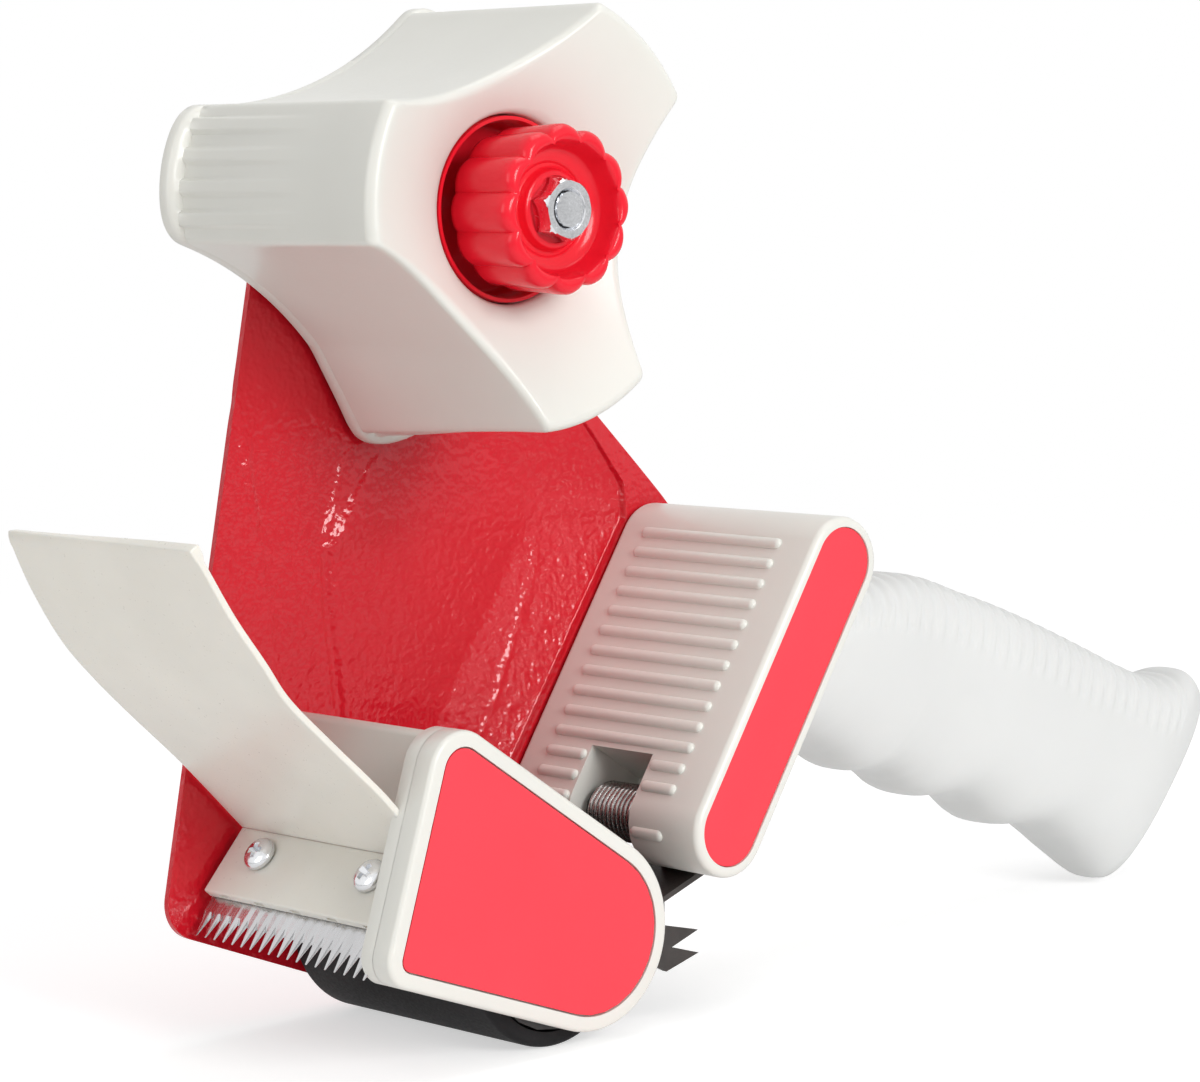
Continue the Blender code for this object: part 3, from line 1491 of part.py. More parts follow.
def hub(materials, axis):
    """The three-armed hub that carries the tape roll."""
    back, flange, face = hub_planes()
    body = prism(hub_outline(), face, flange + CUT_OVERRUN / 2.0)
    piece = add_piece("hub", body, materials["warm_plastic"], axis)
    soften(piece, HUB_EDGE_ROUND, 2, 60.0)
    combine(piece, prism(hub_outline(HUB_FLANGE_LIP), flange, back), "UNION")
    combine(piece, crush_ribs(flange), "UNION")
    floor_y = hub_floor_y()
    dish_y = face + HUB_DISH_DEPTH
    reach = HUB_RADIUS - HUB_EDGE_ROUND * DISH_EDGE_SHARE
    waist = (reach + HUB_HOLE_RADIUS) / 2.0
    dish = [
        (reach, face - CUT_OVERRUN),
        (reach, face),
        (waist, face + HUB_DISH_DEPTH * DISH_WAIST_SHARE),
        (HUB_HOLE_RADIUS, dish_y),
        (HUB_HOLE_RADIUS, floor_y),
        (hub_bore(), floor_y),
        (hub_bore(), back + CUT_OVERRUN),
    ]
    combine(piece, lathe(dish, 0.0, HUB_HEIGHT), "DIFFERENCE")
    combine(piece, hub_back_pockets(back, floor_y), "DIFFERENCE")
    return piece


DISH_EDGE_SHARE = 0.6
DISH_WAIST_SHARE = 0.44


def hub_floor_y():
    """Floor of the hub's front pocket, where the tension cup bears."""
    back, flange, face = hub_planes()
    return face + HUB_DISH_DEPTH + HUB_POCKET_DEPTH


def hub_bore():
    """Radius of the hub's bore on its sleeve."""
    return BOLT_RADIUS + 3.0 * SEAT_GAP + SLEEVE_WALL


def crush_ribs(flange):
    """Tapered ribs that grip the tape roll's core, from the flange forwards."""
    ribs = bmesh.new()
    spread = 360.0 / HUB_ARMS
    length = HUB_LENGTH * CRUSH_RIB_LENGTH_SHARE
    for arm in range(HUB_ARMS):
        middle = 180.0 + HUB_TURN + spread * arm
        for rib in range(CRUSH_RIBS):
            offset = (rib - (CRUSH_RIBS - 1) / 2.0) * CRUSH_RIB_SPREAD
            angle = math.radians(middle) + offset / HUB_RADIUS
            merge(ribs, crush_rib(angle, flange, length))
    return ribs


def crush_rib(angle, flange, length):
    """One rib, full height at the flange and fading along the arm."""
    spoke = Vector((math.cos(angle), math.sin(angle)))
    side = Vector((-spoke.y, spoke.x))
    axis = Vector((0.0, HUB_HEIGHT))
    half = CRUSH_RIB_WIDTH / 2.0
    rings = []
    for y, height, width in ((flange + SEAT_GAP, 1.0, 1.0), (flange - length, 0.0, 0.5)):
        low = axis + spoke * (HUB_RADIUS - CRUSH_RIB_HEIGHT * 1.5)
        high = axis + spoke * (HUB_RADIUS + CRUSH_RIB_HEIGHT * height - SEAT_GAP * (1.0 - height))
        points = [low - side * half * width, high - side * half * width * 0.5]
        points += [high + side * half * width * 0.5, low + side * half * width]
        rings.append([(point.x, y, point.y) for point in points])
    return loft(rings)


def hub_back_pockets(back, floor_y):
    """Coring that leaves an even wall in each arm, open at the back."""
    pockets = bmesh.new()
    spread = 360.0 / HUB_ARMS
    inner = HUB_HOLE_RADIUS + HUB_CORE_WALL
    outer = HUB_RADIUS - HUB_SHELL_WALL
    front = hub_planes()[2] + HUB_DISH_DEPTH + HUB_BACK_WALL
    for arm in range(HUB_ARMS):
        middle = 180.0 + HUB_TURN + spread * arm
        half = HUB_ARM_HALF_ANGLE - math.degrees(HUB_SHELL_WALL / HUB_RADIUS) * 1.4
        outline = arc(0.0, HUB_HEIGHT, outer, middle - half, middle + half, 5)
        outline += arc(0.0, HUB_HEIGHT, inner, middle + half, middle - half, 4)
        merge(pockets, prism(outline, front, back + CUT_OVERRUN))
    return pockets


def hub_axle(materials, root):
    """Bolt, sleeve and friction washer that carry the hub on the side plate."""
    back, flange, face = hub_planes()
    end = knob_face_y() + KNOB_BOWL_DEPTH - KNOB_BOSS_HEIGHT - NUT_PROUD - BOLT_PROUD
    head_from = WEB_BACK_Y + SEAT_GAP
    bolt = rod(BOLT_RADIUS, end, head_from + CUT_OVERRUN, 0.0, HUB_HEIGHT)
    bolt = add_piece("axle_bolt", bolt, materials["zinc"], root)
    head = hexagon(BOLT_HEAD_FLATS, head_from, head_from + BOLT_HEAD_HEIGHT, 0.0, HUB_HEIGHT)
    combine(bolt, head, "UNION")
    inner = BOLT_RADIUS + SEAT_GAP
    sleeve = tube(
        inner + SLEEVE_WALL, inner, hub_floor_y() + SEAT_GAP, WEB_FRONT_Y - SEAT_GAP, 0.0, HUB_HEIGHT, 24
    )
    add_piece("hub_sleeve", sleeve, materials["nylon"], root)
    washer = tube(
        FRICTION_WASHER_RADIUS,
        hub_bore(),
        back + SEAT_GAP,
        back + SEAT_GAP + FRICTION_WASHER_THICKNESS,
        0.0,
        HUB_HEIGHT,
        24,
    )
    add_piece("friction_washer", washer, materials["fibre"], root)


def knob_face_y():
    """Y of the knob's front rim."""
    return hub_planes()[2] - KNOB_PROUD


def knob_back_y():
    """Y of the knob's back."""
    return knob_face_y() + KNOB_LENGTH


def cup_floor_y():
    """Y of the inner floor of the tension cup."""
    return hub_floor_y() - SEAT_GAP - CUP_FLOOR


def tension_cup(materials, axis):
    """Cup in the hub's front pocket that takes the spring's thrust."""
    outer = HUB_HOLE_RADIUS - SEAT_GAP
    base = hub_floor_y() - SEAT_GAP
    rim = hub_planes()[2] + HUB_DISH_DEPTH + SEAT_GAP
    inner = outer - CUP_WALL
    bore = BOLT_RADIUS + SEAT_GAP * 2.0
    profile = [
        (bore, base),
        (outer, base),
        (outer, rim),
        (outer - SEAT_GAP, rim),
        (inner, rim + CUP_FLARE),
        (inner, cup_floor_y()),
        (bore, cup_floor_y()),
    ]
    cup = lathe(profile, 0.0, HUB_HEIGHT, ROUND_STEPS, closed=True)
    add_piece("tension_cup", cup, materials["red_plastic"], axis)


def washer_y():
    """Y of the front face of the washer between spring and knob."""
    return knob_back_y() - KNOB_BACK_RECESS + SEAT_GAP


def tension_spring(materials, root):
    """Compression spring between the cup and the washer."""
    start = cup_floor_y() - SEAT_GAP - SPRING_WIRE_RADIUS
    end = washer_y() + WASHER_THICKNESS + SEAT_GAP + SPRING_WIRE_RADIUS
    steps = SMALL_STEPS
    count = int(SPRING_TURNS * steps)
    path = []
    for step in range(count + 1):
        share = step / count
        angle = math.tau * step / steps
        y = start + (end - start) * share
        spot = Vector((math.cos(angle), math.sin(angle))) * SPRING_RADIUS
        path.append(Vector((spot.x, y, HUB_HEIGHT + spot.y)))
    add_piece("tension_spring", wire(path, SPRING_WIRE_RADIUS, 6), materials["zinc"], root)


def spring_washer(materials, slide):
    """Steel washer that the spring pushes against the knob."""
    front = washer_y()
    washer = tube(
        WASHER_RADIUS, BOLT_RADIUS + SEAT_GAP, front, front + WASHER_THICKNESS, 0.0, HUB_HEIGHT, 32
    )
    add_piece("spring_washer", washer, materials["zinc"], slide)


def tension_knob(materials, axis):
    """The scalloped knob with its front bowl and the nut set in its boss."""
    face = knob_face_y()
    back = knob_back_y()
    steps = KNOB_LOBES * 6
    bowl = face + KNOB_BOWL_DEPTH
    boss = bowl - KNOB_BOSS_HEIGHT
    rim = KNOB_RADIUS - KNOB_RIM_WALL
    nut_pocket = boss + NUT_HEIGHT - NUT_PROUD + SEAT_GAP
    bore = BOLT_RADIUS + SEAT_GAP
    stations = [
        (KNOB_RADIUS * 0.95, face, 1.0),
        (KNOB_RADIUS, face + KNOB_EDGE, 1.0),
        (KNOB_RADIUS * 0.96, back - KNOB_EDGE, 1.0),
        (KNOB_RADIUS * 0.90, back, 0.8),
        (WASHER_RADIUS + SEAT_GAP, back, 0.0),
        (WASHER_RADIUS + SEAT_GAP, back - KNOB_BACK_RECESS, 0.0),
        (bore, back - KNOB_BACK_RECESS, 0.0),
        (bore, boss, 0.0),
        (KNOB_BOSS_RADIUS * 0.9, boss, 0.0),
        (KNOB_BOSS_RADIUS, bowl, 0.0),
        (rim * 0.82, bowl, 0.0),
        (rim, face + KNOB_EDGE, 0.0),
        (rim + KNOB_EDGE * 0.5, face, 0.3),
    ]
    rings = []
    for radius, y, scallop in stations:
        ring = []
        for step in range(steps):
            angle = math.tau * step / steps
            dip = abs(math.sin(KNOB_LOBES * angle / 2.0)) - 1.0
            reach = radius + KNOB_LOBE_DEPTH * dip * scallop
            ring.append((reach * math.cos(angle), y, HUB_HEIGHT + reach * math.sin(angle)))
        rings.append(ring)
    knob = add_piece("tension_knob", loft(rings, closed=True), materials["red_plastic"], axis)
    pocket = hexagon(NUT_FLATS + 2.0 * SEAT_GAP, boss - CUT_OVERRUN, nut_pocket, 0.0, HUB_HEIGHT)
    combine(knob, pocket, "DIFFERENCE")
    nut_from = boss - NUT_PROUD
    nut = hexagon(NUT_FLATS, nut_from, nut_from + NUT_HEIGHT, 0.0, HUB_HEIGHT)
    nut = add_piece("knob_nut", nut, materials["zinc"], axis)
    combine(
        nut,
        rod(BOLT_RADIUS + SEAT_GAP, nut_from - CUT_OVERRUN, nut_from + NUT_HEIGHT + CUT_OVERRUN, 0.0, HUB_HEIGHT),
        "DIFFERENCE",
    )
    return knob


KNOB_EDGE = 0.0009


def centre_on_origin(root):
    """Stand the dispenser's bounding box on the ground, centred on the origin."""
    bpy.context.view_layer.update()
    graph = bpy.context.evaluated_depsgraph_get()
    corners = []
    for piece in bpy.data.objects:
        if piece.type == "MESH" and not piece.hide_render:
            solid = piece.evaluated_get(graph)
            corners += [solid.matrix_world @ Vector(corner) for corner in solid.bound_box]
    low = [min(corner[axis] for corner in corners) for axis in range(3)]
    high = [max(corner[axis] for corner in corners) for axis in range(3)]
    root.location = (-(low[0] + high[0]) / 2.0, -(low[1] + high[1]) / 2.0, -low[2])
    bpy.context.view_layer.update()


def build():
    """Model every piece of the dispenser."""
    clear_scene()
    materials = make_materials()
    root = make_empty("dispenser", (0.0, 0.0, 0.0))
    roller_axis = make_empty("roller_axis", (ROLLER_X, 0.0, ROLLER_RADIUS), root)
    hub_axis = make_empty("hub_axis", (0.0, 0.0, HUB_HEIGHT), root)
    slide_axis = make_empty("knob_slide_axis", (0.0, 0.0, HUB_HEIGHT), root)
    knob_axis = make_empty("knob_axis", (0.0, 0.0, HUB_HEIGHT), slide_axis)
    pin_axis = make_empty("retention_axis", (HOUSING_FOOT_X, 0.0, HOUSING_FOOT_Z), root)
    side_plate(materials, root)
    front_guard(materials, root)
    guard_inlay(materials, root)
    wiper_flap(materials, root)
    cutter_blade(materials, root)
    blade_screws(materials, root)
    roller(materials, roller_axis, root)
    rear_housing(materials, root)
    housing_inlay(materials, root)
    retention_plate(materials, pin_axis)
    retention_pin(materials, root)
    torsion_spring(materials, root)
    handle(materials, root)
    frame_screws(materials, root)
    hub(materials, hub_axis)
    hub_axle(materials, root)
    tension_cup(materials, hub_axis)
    tension_spring(materials, root)
    spring_washer(materials, slide_axis)
    tension_knob(materials, knob_axis)
    centre_on_origin(root)


build()
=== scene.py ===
"""Looks of the packing tape dispenser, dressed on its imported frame."""

import json
import math

import bmesh
import bpy
from mathutils import Matrix, Vector


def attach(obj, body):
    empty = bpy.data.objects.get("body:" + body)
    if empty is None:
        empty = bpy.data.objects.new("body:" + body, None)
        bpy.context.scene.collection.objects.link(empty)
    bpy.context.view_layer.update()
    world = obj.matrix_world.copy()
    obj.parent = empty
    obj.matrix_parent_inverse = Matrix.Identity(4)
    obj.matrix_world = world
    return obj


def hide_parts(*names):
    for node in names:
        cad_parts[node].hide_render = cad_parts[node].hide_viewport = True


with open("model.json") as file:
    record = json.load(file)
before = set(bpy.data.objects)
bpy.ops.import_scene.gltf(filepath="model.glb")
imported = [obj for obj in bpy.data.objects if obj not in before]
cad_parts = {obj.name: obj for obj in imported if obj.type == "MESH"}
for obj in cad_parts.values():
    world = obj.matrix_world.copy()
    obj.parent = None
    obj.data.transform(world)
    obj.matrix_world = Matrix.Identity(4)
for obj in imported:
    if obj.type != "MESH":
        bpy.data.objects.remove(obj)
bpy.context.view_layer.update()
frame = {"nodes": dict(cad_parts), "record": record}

# The layout that the pieces are drawn in has X zero on the hub's axis, Y zero on the
# housing's seat and Z zero on the floor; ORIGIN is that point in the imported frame.
ORIGIN = Vector((-0.063256, 0.02245, 0.0))
HUB_Z = 0.1447
OPEN_Y = -0.0515
GUARD_IN_Y = -0.0461
FLOOR_Y = 0.006
SEAT_GAP = 0.0003
CUT_OVERRUN = 0.002
INLAY_DEPTH = 0.0013


def link(obj):
    bpy.context.scene.collection.objects.link(obj)
    return obj


def to_mesh(name, data):
    """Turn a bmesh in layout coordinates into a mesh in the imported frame."""
    bmesh.ops.recalc_face_normals(data, faces=data.faces)
    bmesh.ops.translate(data, verts=data.verts, vec=ORIGIN)
    mesh = bpy.data.meshes.new(name)
    data.to_mesh(mesh)
    data.free()
    return mesh


def to_object(name, data, material, body, replaced, sharp=40.0):
    """Turn a bmesh in layout coordinates into a piece that rides on a body."""
    mesh = to_mesh(name, data)
    mesh.materials.append(material)
    mesh.shade_smooth()
    mesh.set_sharp_from_angle(angle=math.radians(sharp))
    obj = link(bpy.data.objects.new(name, mesh))
    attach(obj, body)
    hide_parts(*replaced)
    return obj


def apply_modifiers(obj, sharp=40.0):
    """Bake an object's modifiers into its mesh."""
    graph = bpy.context.evaluated_depsgraph_get()
    bpy.context.view_layer.update()
    mesh = bpy.data.meshes.new_from_object(obj.evaluated_get(graph))
    obj.modifiers.clear()
    old = obj.data
    obj.data = mesh
    bpy.data.meshes.remove(old)
    mesh.shade_smooth()
    mesh.set_sharp_from_angle(angle=math.radians(sharp))


def cut(obj, data):
    """Cut a helper mesh in layout coordinates out of a piece, and bake it."""
    tool = link(bpy.data.objects.new("tool", to_mesh("tool", data)))
    modifier = obj.modifiers.new("cut", "BOOLEAN")
    modifier.operation = "DIFFERENCE"
    modifier.solver = "EXACT"
    modifier.use_self = True
    modifier.object = tool
    apply_modifiers(obj)
    bpy.data.objects.remove(tool, do_unlink=True)


def add_bevel(obj, width, segments, angle):
    modifier = obj.modifiers.new("round", "BEVEL")
    modifier.width = width
    modifier.segments = segments
    modifier.limit_method = "ANGLE"
    modifier.angle_limit = math.radians(angle)


def rounded(obj, width, segments=3, angle=40.0):
    """Round the sharp edges of a piece and bake it."""
    add_bevel(obj, width, segments, angle)
    apply_modifiers(obj, 60.0)


def merge(target, part):
    """Add one bmesh to another and free it."""
    table = {v: target.verts.new(v.co) for v in part.verts}
    for face in part.faces:
        target.faces.new([table[v] for v in face.verts])
    part.free()


# Outlines and solids


def around(x, z, radius, a, y):
    """A point at a radius and angle round an axis along Y."""
    return (x + radius * math.cos(a), y, z + radius * math.sin(a))


def circle(x, z, radius, y, steps, turn=0.0):
    """A ring of points round an axis along Y."""
    return [around(x, z, radius, math.tau * i / steps + turn, y) for i in range(steps)]


def prism(outline, y_from, y_to):
    """A solid between two Y planes with an outline of (x, z) points."""
    data = bmesh.new()
    near = [data.verts.new((p[0], y_from, p[1])) for p in outline]
    far = [data.verts.new((p[0], y_to, p[1])) for p in outline]
    data.faces.new(near)
    data.faces.new(list(reversed(far)))
    for i in range(len(outline)):
        j = (i + 1) % len(outline)
        data.faces.new((near[j], near[i], far[i], far[j]))
    return data


def loft(rings, closed=False):
    """A skin over rings with ends, or joined from the last ring to the first."""
    data = bmesh.new()
    rows = [[data.verts.new(point) for point in ring] for ring in rings]
    pairs = list(zip(rows, rows[1:]))
    if closed:
        pairs.append((rows[-1], rows[0]))
    for first, second in pairs:
        for i in range(len(first)):
            j = (i + 1) % len(first)
            data.faces.new((first[i], first[j], second[j], second[i]))
    if not closed:
        data.faces.new(list(reversed(rows[0])))
        data.faces.new(rows[-1])
    return data


def lathe(profile, x, z, steps, closed=False):
    """A solid turned round an axis along Y from (radius, y) points."""
    return loft([circle(x, z, radius, y, steps) for radius, y in profile], closed)


def arc(x, z, radius, start, end, steps):
    """Points of an arc between two angles in degrees."""
    points = []
    for i in range(steps + 1):
        a = math.radians(start + (end - start) * i / steps)
        points.append((x + radius * math.cos(a), z + radius * math.sin(a)))
    return points


def rounded_hull(corners, step_angle=4.0):
    """The outline round corners given as (x, z, radius), with tangents between them."""
    outline = []
    count = len(corners)
    normals = []
    for i in range(count):
        xa, za, ra = corners[i]
        xb, zb, rb = corners[(i + 1) % count]
        span = math.hypot(xb - xa, zb - za)
        heading = math.degrees(math.atan2(zb - za, xb - xa))
        normals.append(heading - 90.0 + math.degrees(math.asin((ra - rb) / span)))
    for i in range(count):
        x, z, radius = corners[i]
        start, end = normals[i - 1], normals[i]
        while end < start:
            end += 360.0
        outline += arc(x, z, radius, start, end, max(2, math.ceil((end - start) / step_angle)))
    return outline


def shrunk(corners, inset):
    """The same corners with smaller radii."""
    return [(x, z, radius - inset) for x, z, radius in corners]


def catmull(points, steps):
    """A smooth curve through points."""
    curve = []
    last = len(points) - 1
    for i in range(last):
        p0 = Vector(points[max(i - 1, 0)])
        p1 = Vector(points[i])
        p2 = Vector(points[i + 1])
        p3 = Vector(points[min(i + 2, last)])
        bend = 2 * p0 - 5 * p1 + 4 * p2 - p3
        twist = 3 * p1 - p0 - 3 * p2 + p3
        for k in range(steps):
            t = k / steps
            curve.append(p1 + ((p2 - p0) * t + bend * t * t + twist * t**3) / 2.0)
    curve.append(Vector(points[last]))
    return curve


def even_line(points, count):
    """The points of a smooth curve at even distances."""
    curve = catmull(points, 24)
    reach = [0.0]
    for first, second in zip(curve, curve[1:]):
        reach.append(reach[-1] + (second - first).length)
    line = []
    k = 0
    for i in range(count + 1):
        goal = reach[-1] * i / count
        while k < len(reach) - 2 and reach[k + 1] < goal:
            k += 1
        share = (goal - reach[k]) / (reach[k + 1] - reach[k])
        line.append(curve[k].lerp(curve[k + 1], min(1.0, share)))
    return line


def wire(path, radius, sides):
    """A round wire along a path."""
    rings = []
    last = len(path) - 1
    normal = None
    for i, point in enumerate(path):
        ahead = (path[min(i + 1, last)] - path[max(i - 1, 0)]).normalized()
        if normal is None:
            seed = Vector((0.0, 1.0, 0.0))
            if abs(ahead.dot(seed)) > 0.9:
                seed = Vector((1.0, 0.0, 0.0))
            normal = ahead.cross(seed).normalized()
        normal = (normal - ahead * normal.dot(ahead)).normalized()
        side = ahead.cross(normal)
        ring = []
        for k in range(sides):
            a = math.tau * k / sides
            ring.append(point + radius * (math.cos(a) * normal + math.sin(a) * side))
        rings.append(ring)
    return loft(rings)


def clamp_step(low, high, value):
    """Straight rise from 0 at low to 1 at high."""
    return min(1.0, max(0.0, (value - low) / (high - low)))


def smooth_step(low, high, value):
    """Soft rise from 0 at low to 1 at high."""
    t = clamp_step(low, high, value)
    return t * t * (3.0 - 2.0 * t)


def hump(offset, width):
    """Soft bump that is 1 at its middle."""
    return math.exp(-((offset / width) ** 2))


# Materials


def node(tree, kind, **inputs):
    """A shader node with values set by the names of its inputs."""
    item = tree.nodes.new(kind)
    for key, value in inputs.items():
        item.inputs[key.replace("_", " ")].default_value = value
    return item


def surface(
    name, colour, roughness, metallic=0.0, mottle=0.04, mottle_scale=60.0, grain=900.0,
    grain_depth=0.00004, grain_strength=0.3, rough_swing=0.05, stretch=(1.0, 1.0, 1.0),
    subsurface=0.0, specular=0.5, detail=3.0,
):
    """Principled finish with mottled colour, uneven gloss and a fine grain in relief."""
    material = bpy.data.materials.new(name)
    material.use_nodes = True
    tree = material.node_tree
    shader = tree.nodes["Principled BSDF"]
    shader.inputs["Metallic"].default_value = metallic
    shader.inputs["Specular IOR Level"].default_value = specular
    if subsurface:
        shader.inputs["Subsurface Weight"].default_value = subsurface
        shader.inputs["Subsurface Radius"].default_value = (0.6, 0.5, 0.4)
        shader.inputs["Subsurface Scale"].default_value = 0.004
    place = node(tree, "ShaderNodeTexCoord")
    mapping = node(tree, "ShaderNodeMapping", Scale=stretch)
    tree.links.new(place.outputs["Object"], mapping.inputs["Vector"])
    blotch = node(tree, "ShaderNodeTexNoise", Scale=mottle_scale, Detail=4.0, Roughness=0.55)
    tree.links.new(mapping.outputs["Vector"], blotch.inputs["Vector"])
    ramp = node(tree, "ShaderNodeValToRGB")
    low = [max(0.0, c * (1.0 - mottle)) for c in colour]
    high = [min(1.0, c * (1.0 + mottle)) for c in colour]
    for element, position, tone in zip(ramp.color_ramp.elements, (0.3, 0.7), (low, high)):
        element.position = position
        element.color = (*tone, 1.0)
    tree.links.new(blotch.outputs["Fac"], ramp.inputs["Fac"])
    tree.links.new(ramp.outputs["Color"], shader.inputs["Base Color"])
    fine = node(tree, "ShaderNodeTexNoise", Scale=grain, Detail=detail, Roughness=0.6)
    tree.links.new(mapping.outputs["Vector"], fine.inputs["Vector"])
    smooth, rough = max(0.02, roughness - rough_swing), min(1.0, roughness + rough_swing)
    spread = node(tree, "ShaderNodeMapRange", From_Min=0.3, From_Max=0.7, To_Min=smooth, To_Max=rough)
    tree.links.new(fine.outputs["Fac"], spread.inputs["Value"])
    tree.links.new(spread.outputs["Result"], shader.inputs["Roughness"])
    bump = node(tree, "ShaderNodeBump", Strength=grain_strength, Distance=grain_depth)
    tree.links.new(fine.outputs["Fac"], bump.inputs["Height"])
    tree.links.new(bump.outputs["Normal"], shader.inputs["Normal"])
    return material


PAINT = surface(
    "red_enamel", (0.61, 0.009, 0.020), 0.11, mottle_scale=25.0, grain=560.0, grain_depth=0.00036,
    grain_strength=0.9, detail=1.2, rough_swing=0.03, specular=0.42,
)
WARM = surface(
    "warm_grey_plastic", (0.74, 0.735, 0.685), 0.33, mottle=0.02, mottle_scale=35.0, grain=1600.0,
    grain_depth=0.00002, subsurface=0.06,
)
MILKY = surface(
    "milky_plastic", (0.78, 0.755, 0.69), 0.32, mottle=0.035, mottle_scale=45.0, grain=1400.0,
    grain_depth=0.00003, subsurface=0.25,
)
GRIP = surface(
    "grip_plastic", (0.69, 0.695, 0.685), 0.42, mottle=0.02, mottle_scale=30.0, grain=1800.0,
    grain_depth=0.00002, subsurface=0.06,
)
INLAY = surface(
    "coral_inlay", (0.92, 0.055, 0.078), 0.55, mottle=0.03, mottle_scale=50.0, grain=2200.0,
    grain_depth=0.00002, specular=0.25,
)
GLOSS_RED = surface(
    "glossy_red_plastic", (0.80, 0.012, 0.028), 0.18, mottle_scale=70.0, grain_depth=0.00002,
    rough_swing=0.03, specular=0.3,
)
RUBBER = surface(
    "roller_rubber", (0.016, 0.015, 0.016), 0.55, mottle=0.25, mottle_scale=80.0, grain=1800.0,
    rough_swing=0.08, specular=0.16,
)
CORE = surface("black_core", (0.05, 0.05, 0.05), 0.5, mottle=0.1)
BLADE = surface(
    "blade_steel", (0.60, 0.60, 0.61), 0.24, metallic=1.0, mottle=0.06, grain=1500.0,
    grain_depth=0.00002, stretch=(0.15, 3.0, 0.15), rough_swing=0.08,
)
ZINC = surface(
    "zinc_plate", (0.78, 0.79, 0.81), 0.20, metallic=1.0, mottle=0.08, mottle_scale=300.0,
    grain=2500.0, grain_depth=0.00002, rough_swing=0.08,
)
DARK_STEEL = surface(
    "dark_spring_steel", (0.36, 0.34, 0.33), 0.28, metallic=1.0, mottle=0.15, mottle_scale=200.0,
    grain=2500.0, grain_depth=0.00002, rough_swing=0.10,
)
# The toothed steel sheet gets a near-black colour: painted shade that stands in for the shadow its faces
# lie in, not the steel's own tone.
SHADE_PAINTED_PLATE_STEEL = surface(
    "shade_painted_plate_steel", (0.055, 0.048, 0.045), 0.42, metallic=0.4, mottle=0.2, mottle_scale=200.0,
    grain=2500.0, grain_depth=0.00002, rough_swing=0.10,
)
NYLON = surface("nylon_bush", (0.70, 0.69, 0.63), 0.4)
FIBRE = surface("fibre_washer", (0.10, 0.09, 0.08), 0.8, mottle=0.2, grain=2500.0)

SLOTS = {
    "red_paint": PAINT,
    "warm_plastic": WARM,
    "milky_plastic": MILKY,
    "grip_plastic": GRIP,
    "coral_inlay": INLAY,
    "red_plastic": GLOSS_RED,
    "rubber": RUBBER,
    "core_plastic": CORE,
    "blade_steel": BLADE,
    "zinc": ZINC,
    "dark_steel": SHADE_PAINTED_PLATE_STEEL,
    "nylon": NYLON,
    "fibre": FIBRE,
}
NODE_SLOT = {item["node"]: item["material_slot"] for item in frame["record"]["subparts"]}
for node_name, cad in frame["nodes"].items():
    for cad_slot in cad.material_slots:
        cad_slot.material = SLOTS[NODE_SLOT[node_name]]


# Shapes shared by several pieces
HOUSING_TOP = Vector((0.0683, 0.0778))
HOUSING_FOOT = Vector((0.0379, 0.0332))
HOUSING_R = 0.0081
DOWN = (HOUSING_FOOT - HOUSING_TOP).normalized()
OUT = Vector((DOWN.y, -DOWN.x))
GUARD_CORNERS = [(-0.0235, 0.0522, 0.007), (-0.0360, 0.0224, 0.005), (0.0049, 0.0198, 0.017)]
BAR_CORNER = Vector((-0.0281, 0.0370))
BAR_A = math.radians(47.4)
BAR_DOWN = Vector((-math.cos(BAR_A), -math.sin(BAR_A)))
BAR_OUT = Vector((-math.sin(BAR_A), math.cos(BAR_A)))
BAR_LENGTH = 0.0133
FLAP_NEAR, FLAP_FAR = -0.0456, 0.0042


# Side plate: lines of (x, z) points on its face, spans over which a form fades, depths
PLATE_MARGIN = 0.0009
PLATE_THICKNESS = 0.0012
STEP_LINE = [
    (0.0120, 0.0050), (0.0270, 0.0332), (0.0622, 0.0832), (0.0622, 0.0900), (0.0560, 0.1000),
    (0.0350, 0.1290),
]
RIDGE_LINE = [
    (0.0140, 0.0250), (0.0230, 0.0380), (0.0308, 0.0518), (0.0384, 0.0677), (0.0434, 0.0776),
    (0.0438, 0.0830), (0.0425, 0.0885), (0.0382, 0.0954), (0.0330, 0.1005), (0.0230, 0.1060),
    (0.0120, 0.1090),
]
CREASE_LINE = [
    (-0.0030, 0.0300), (-0.0040, 0.0545), (-0.0049, 0.0670), (-0.0057, 0.0760), (-0.0054, 0.0840),
    (-0.0040, 0.0885), (-0.0005, 0.0955), (0.0040, 0.1010), (0.0110, 0.1070), (0.0200, 0.1120),
]
BEAD_LINE = [
    (-0.0262, 0.1300), (-0.0228, 0.1071), (-0.0223, 0.0998), (-0.0212, 0.0912), (-0.0187, 0.0711),
    (-0.0150, 0.0500),
]
STREAKS = [
    [(-0.0058, 0.0877), (-0.0028, 0.0963), (-0.0005, 0.1013)],
    [(-0.0033, 0.0866), (0.0014, 0.0941), (0.0064, 0.0997)],
]
FOLD_LINE = [(-0.0054, 0.0545), (-0.0063, 0.0641), (-0.0074, 0.0751), (-0.0071, 0.0848)]
HUB_CLEARANCE = (0.0420, 0.0600)
PANEL_FOOT = (0.036, 0.056)
PANEL_HEAD = (0.084, 0.1080)
CLIMB_FOOT = (0.006, 0.030)
CORNER_FADE = (0.087, 0.121)
STREAK_FOOT, STREAK_HEAD = (0.0810, 0.0890), (0.0965, 0.1050)
FOLD_FOOT, FOLD_HEAD = (0.030, 0.050), (0.080, 0.086)
BEAD_FOOT, BEAD_HEAD = (0.087, 0.0915), (0.100, 0.109)
LOW_BEAD_FOOT = (0.052, 0.074)
BULGE = 0.0011
SWELL_REACH = 0.009
STEP = 0.0013
STEP_WIDTH = 0.0007
CLIMB_RUN = 0.0205
TOP_CLIMB = 0.0014
RIDGE_RISE, RIDGE_WIDTH, RIDGE_GAP = 0.00025, 0.0006, 0.004
STREAK_RISE, STREAK_HALF = 0.00046, 0.0012
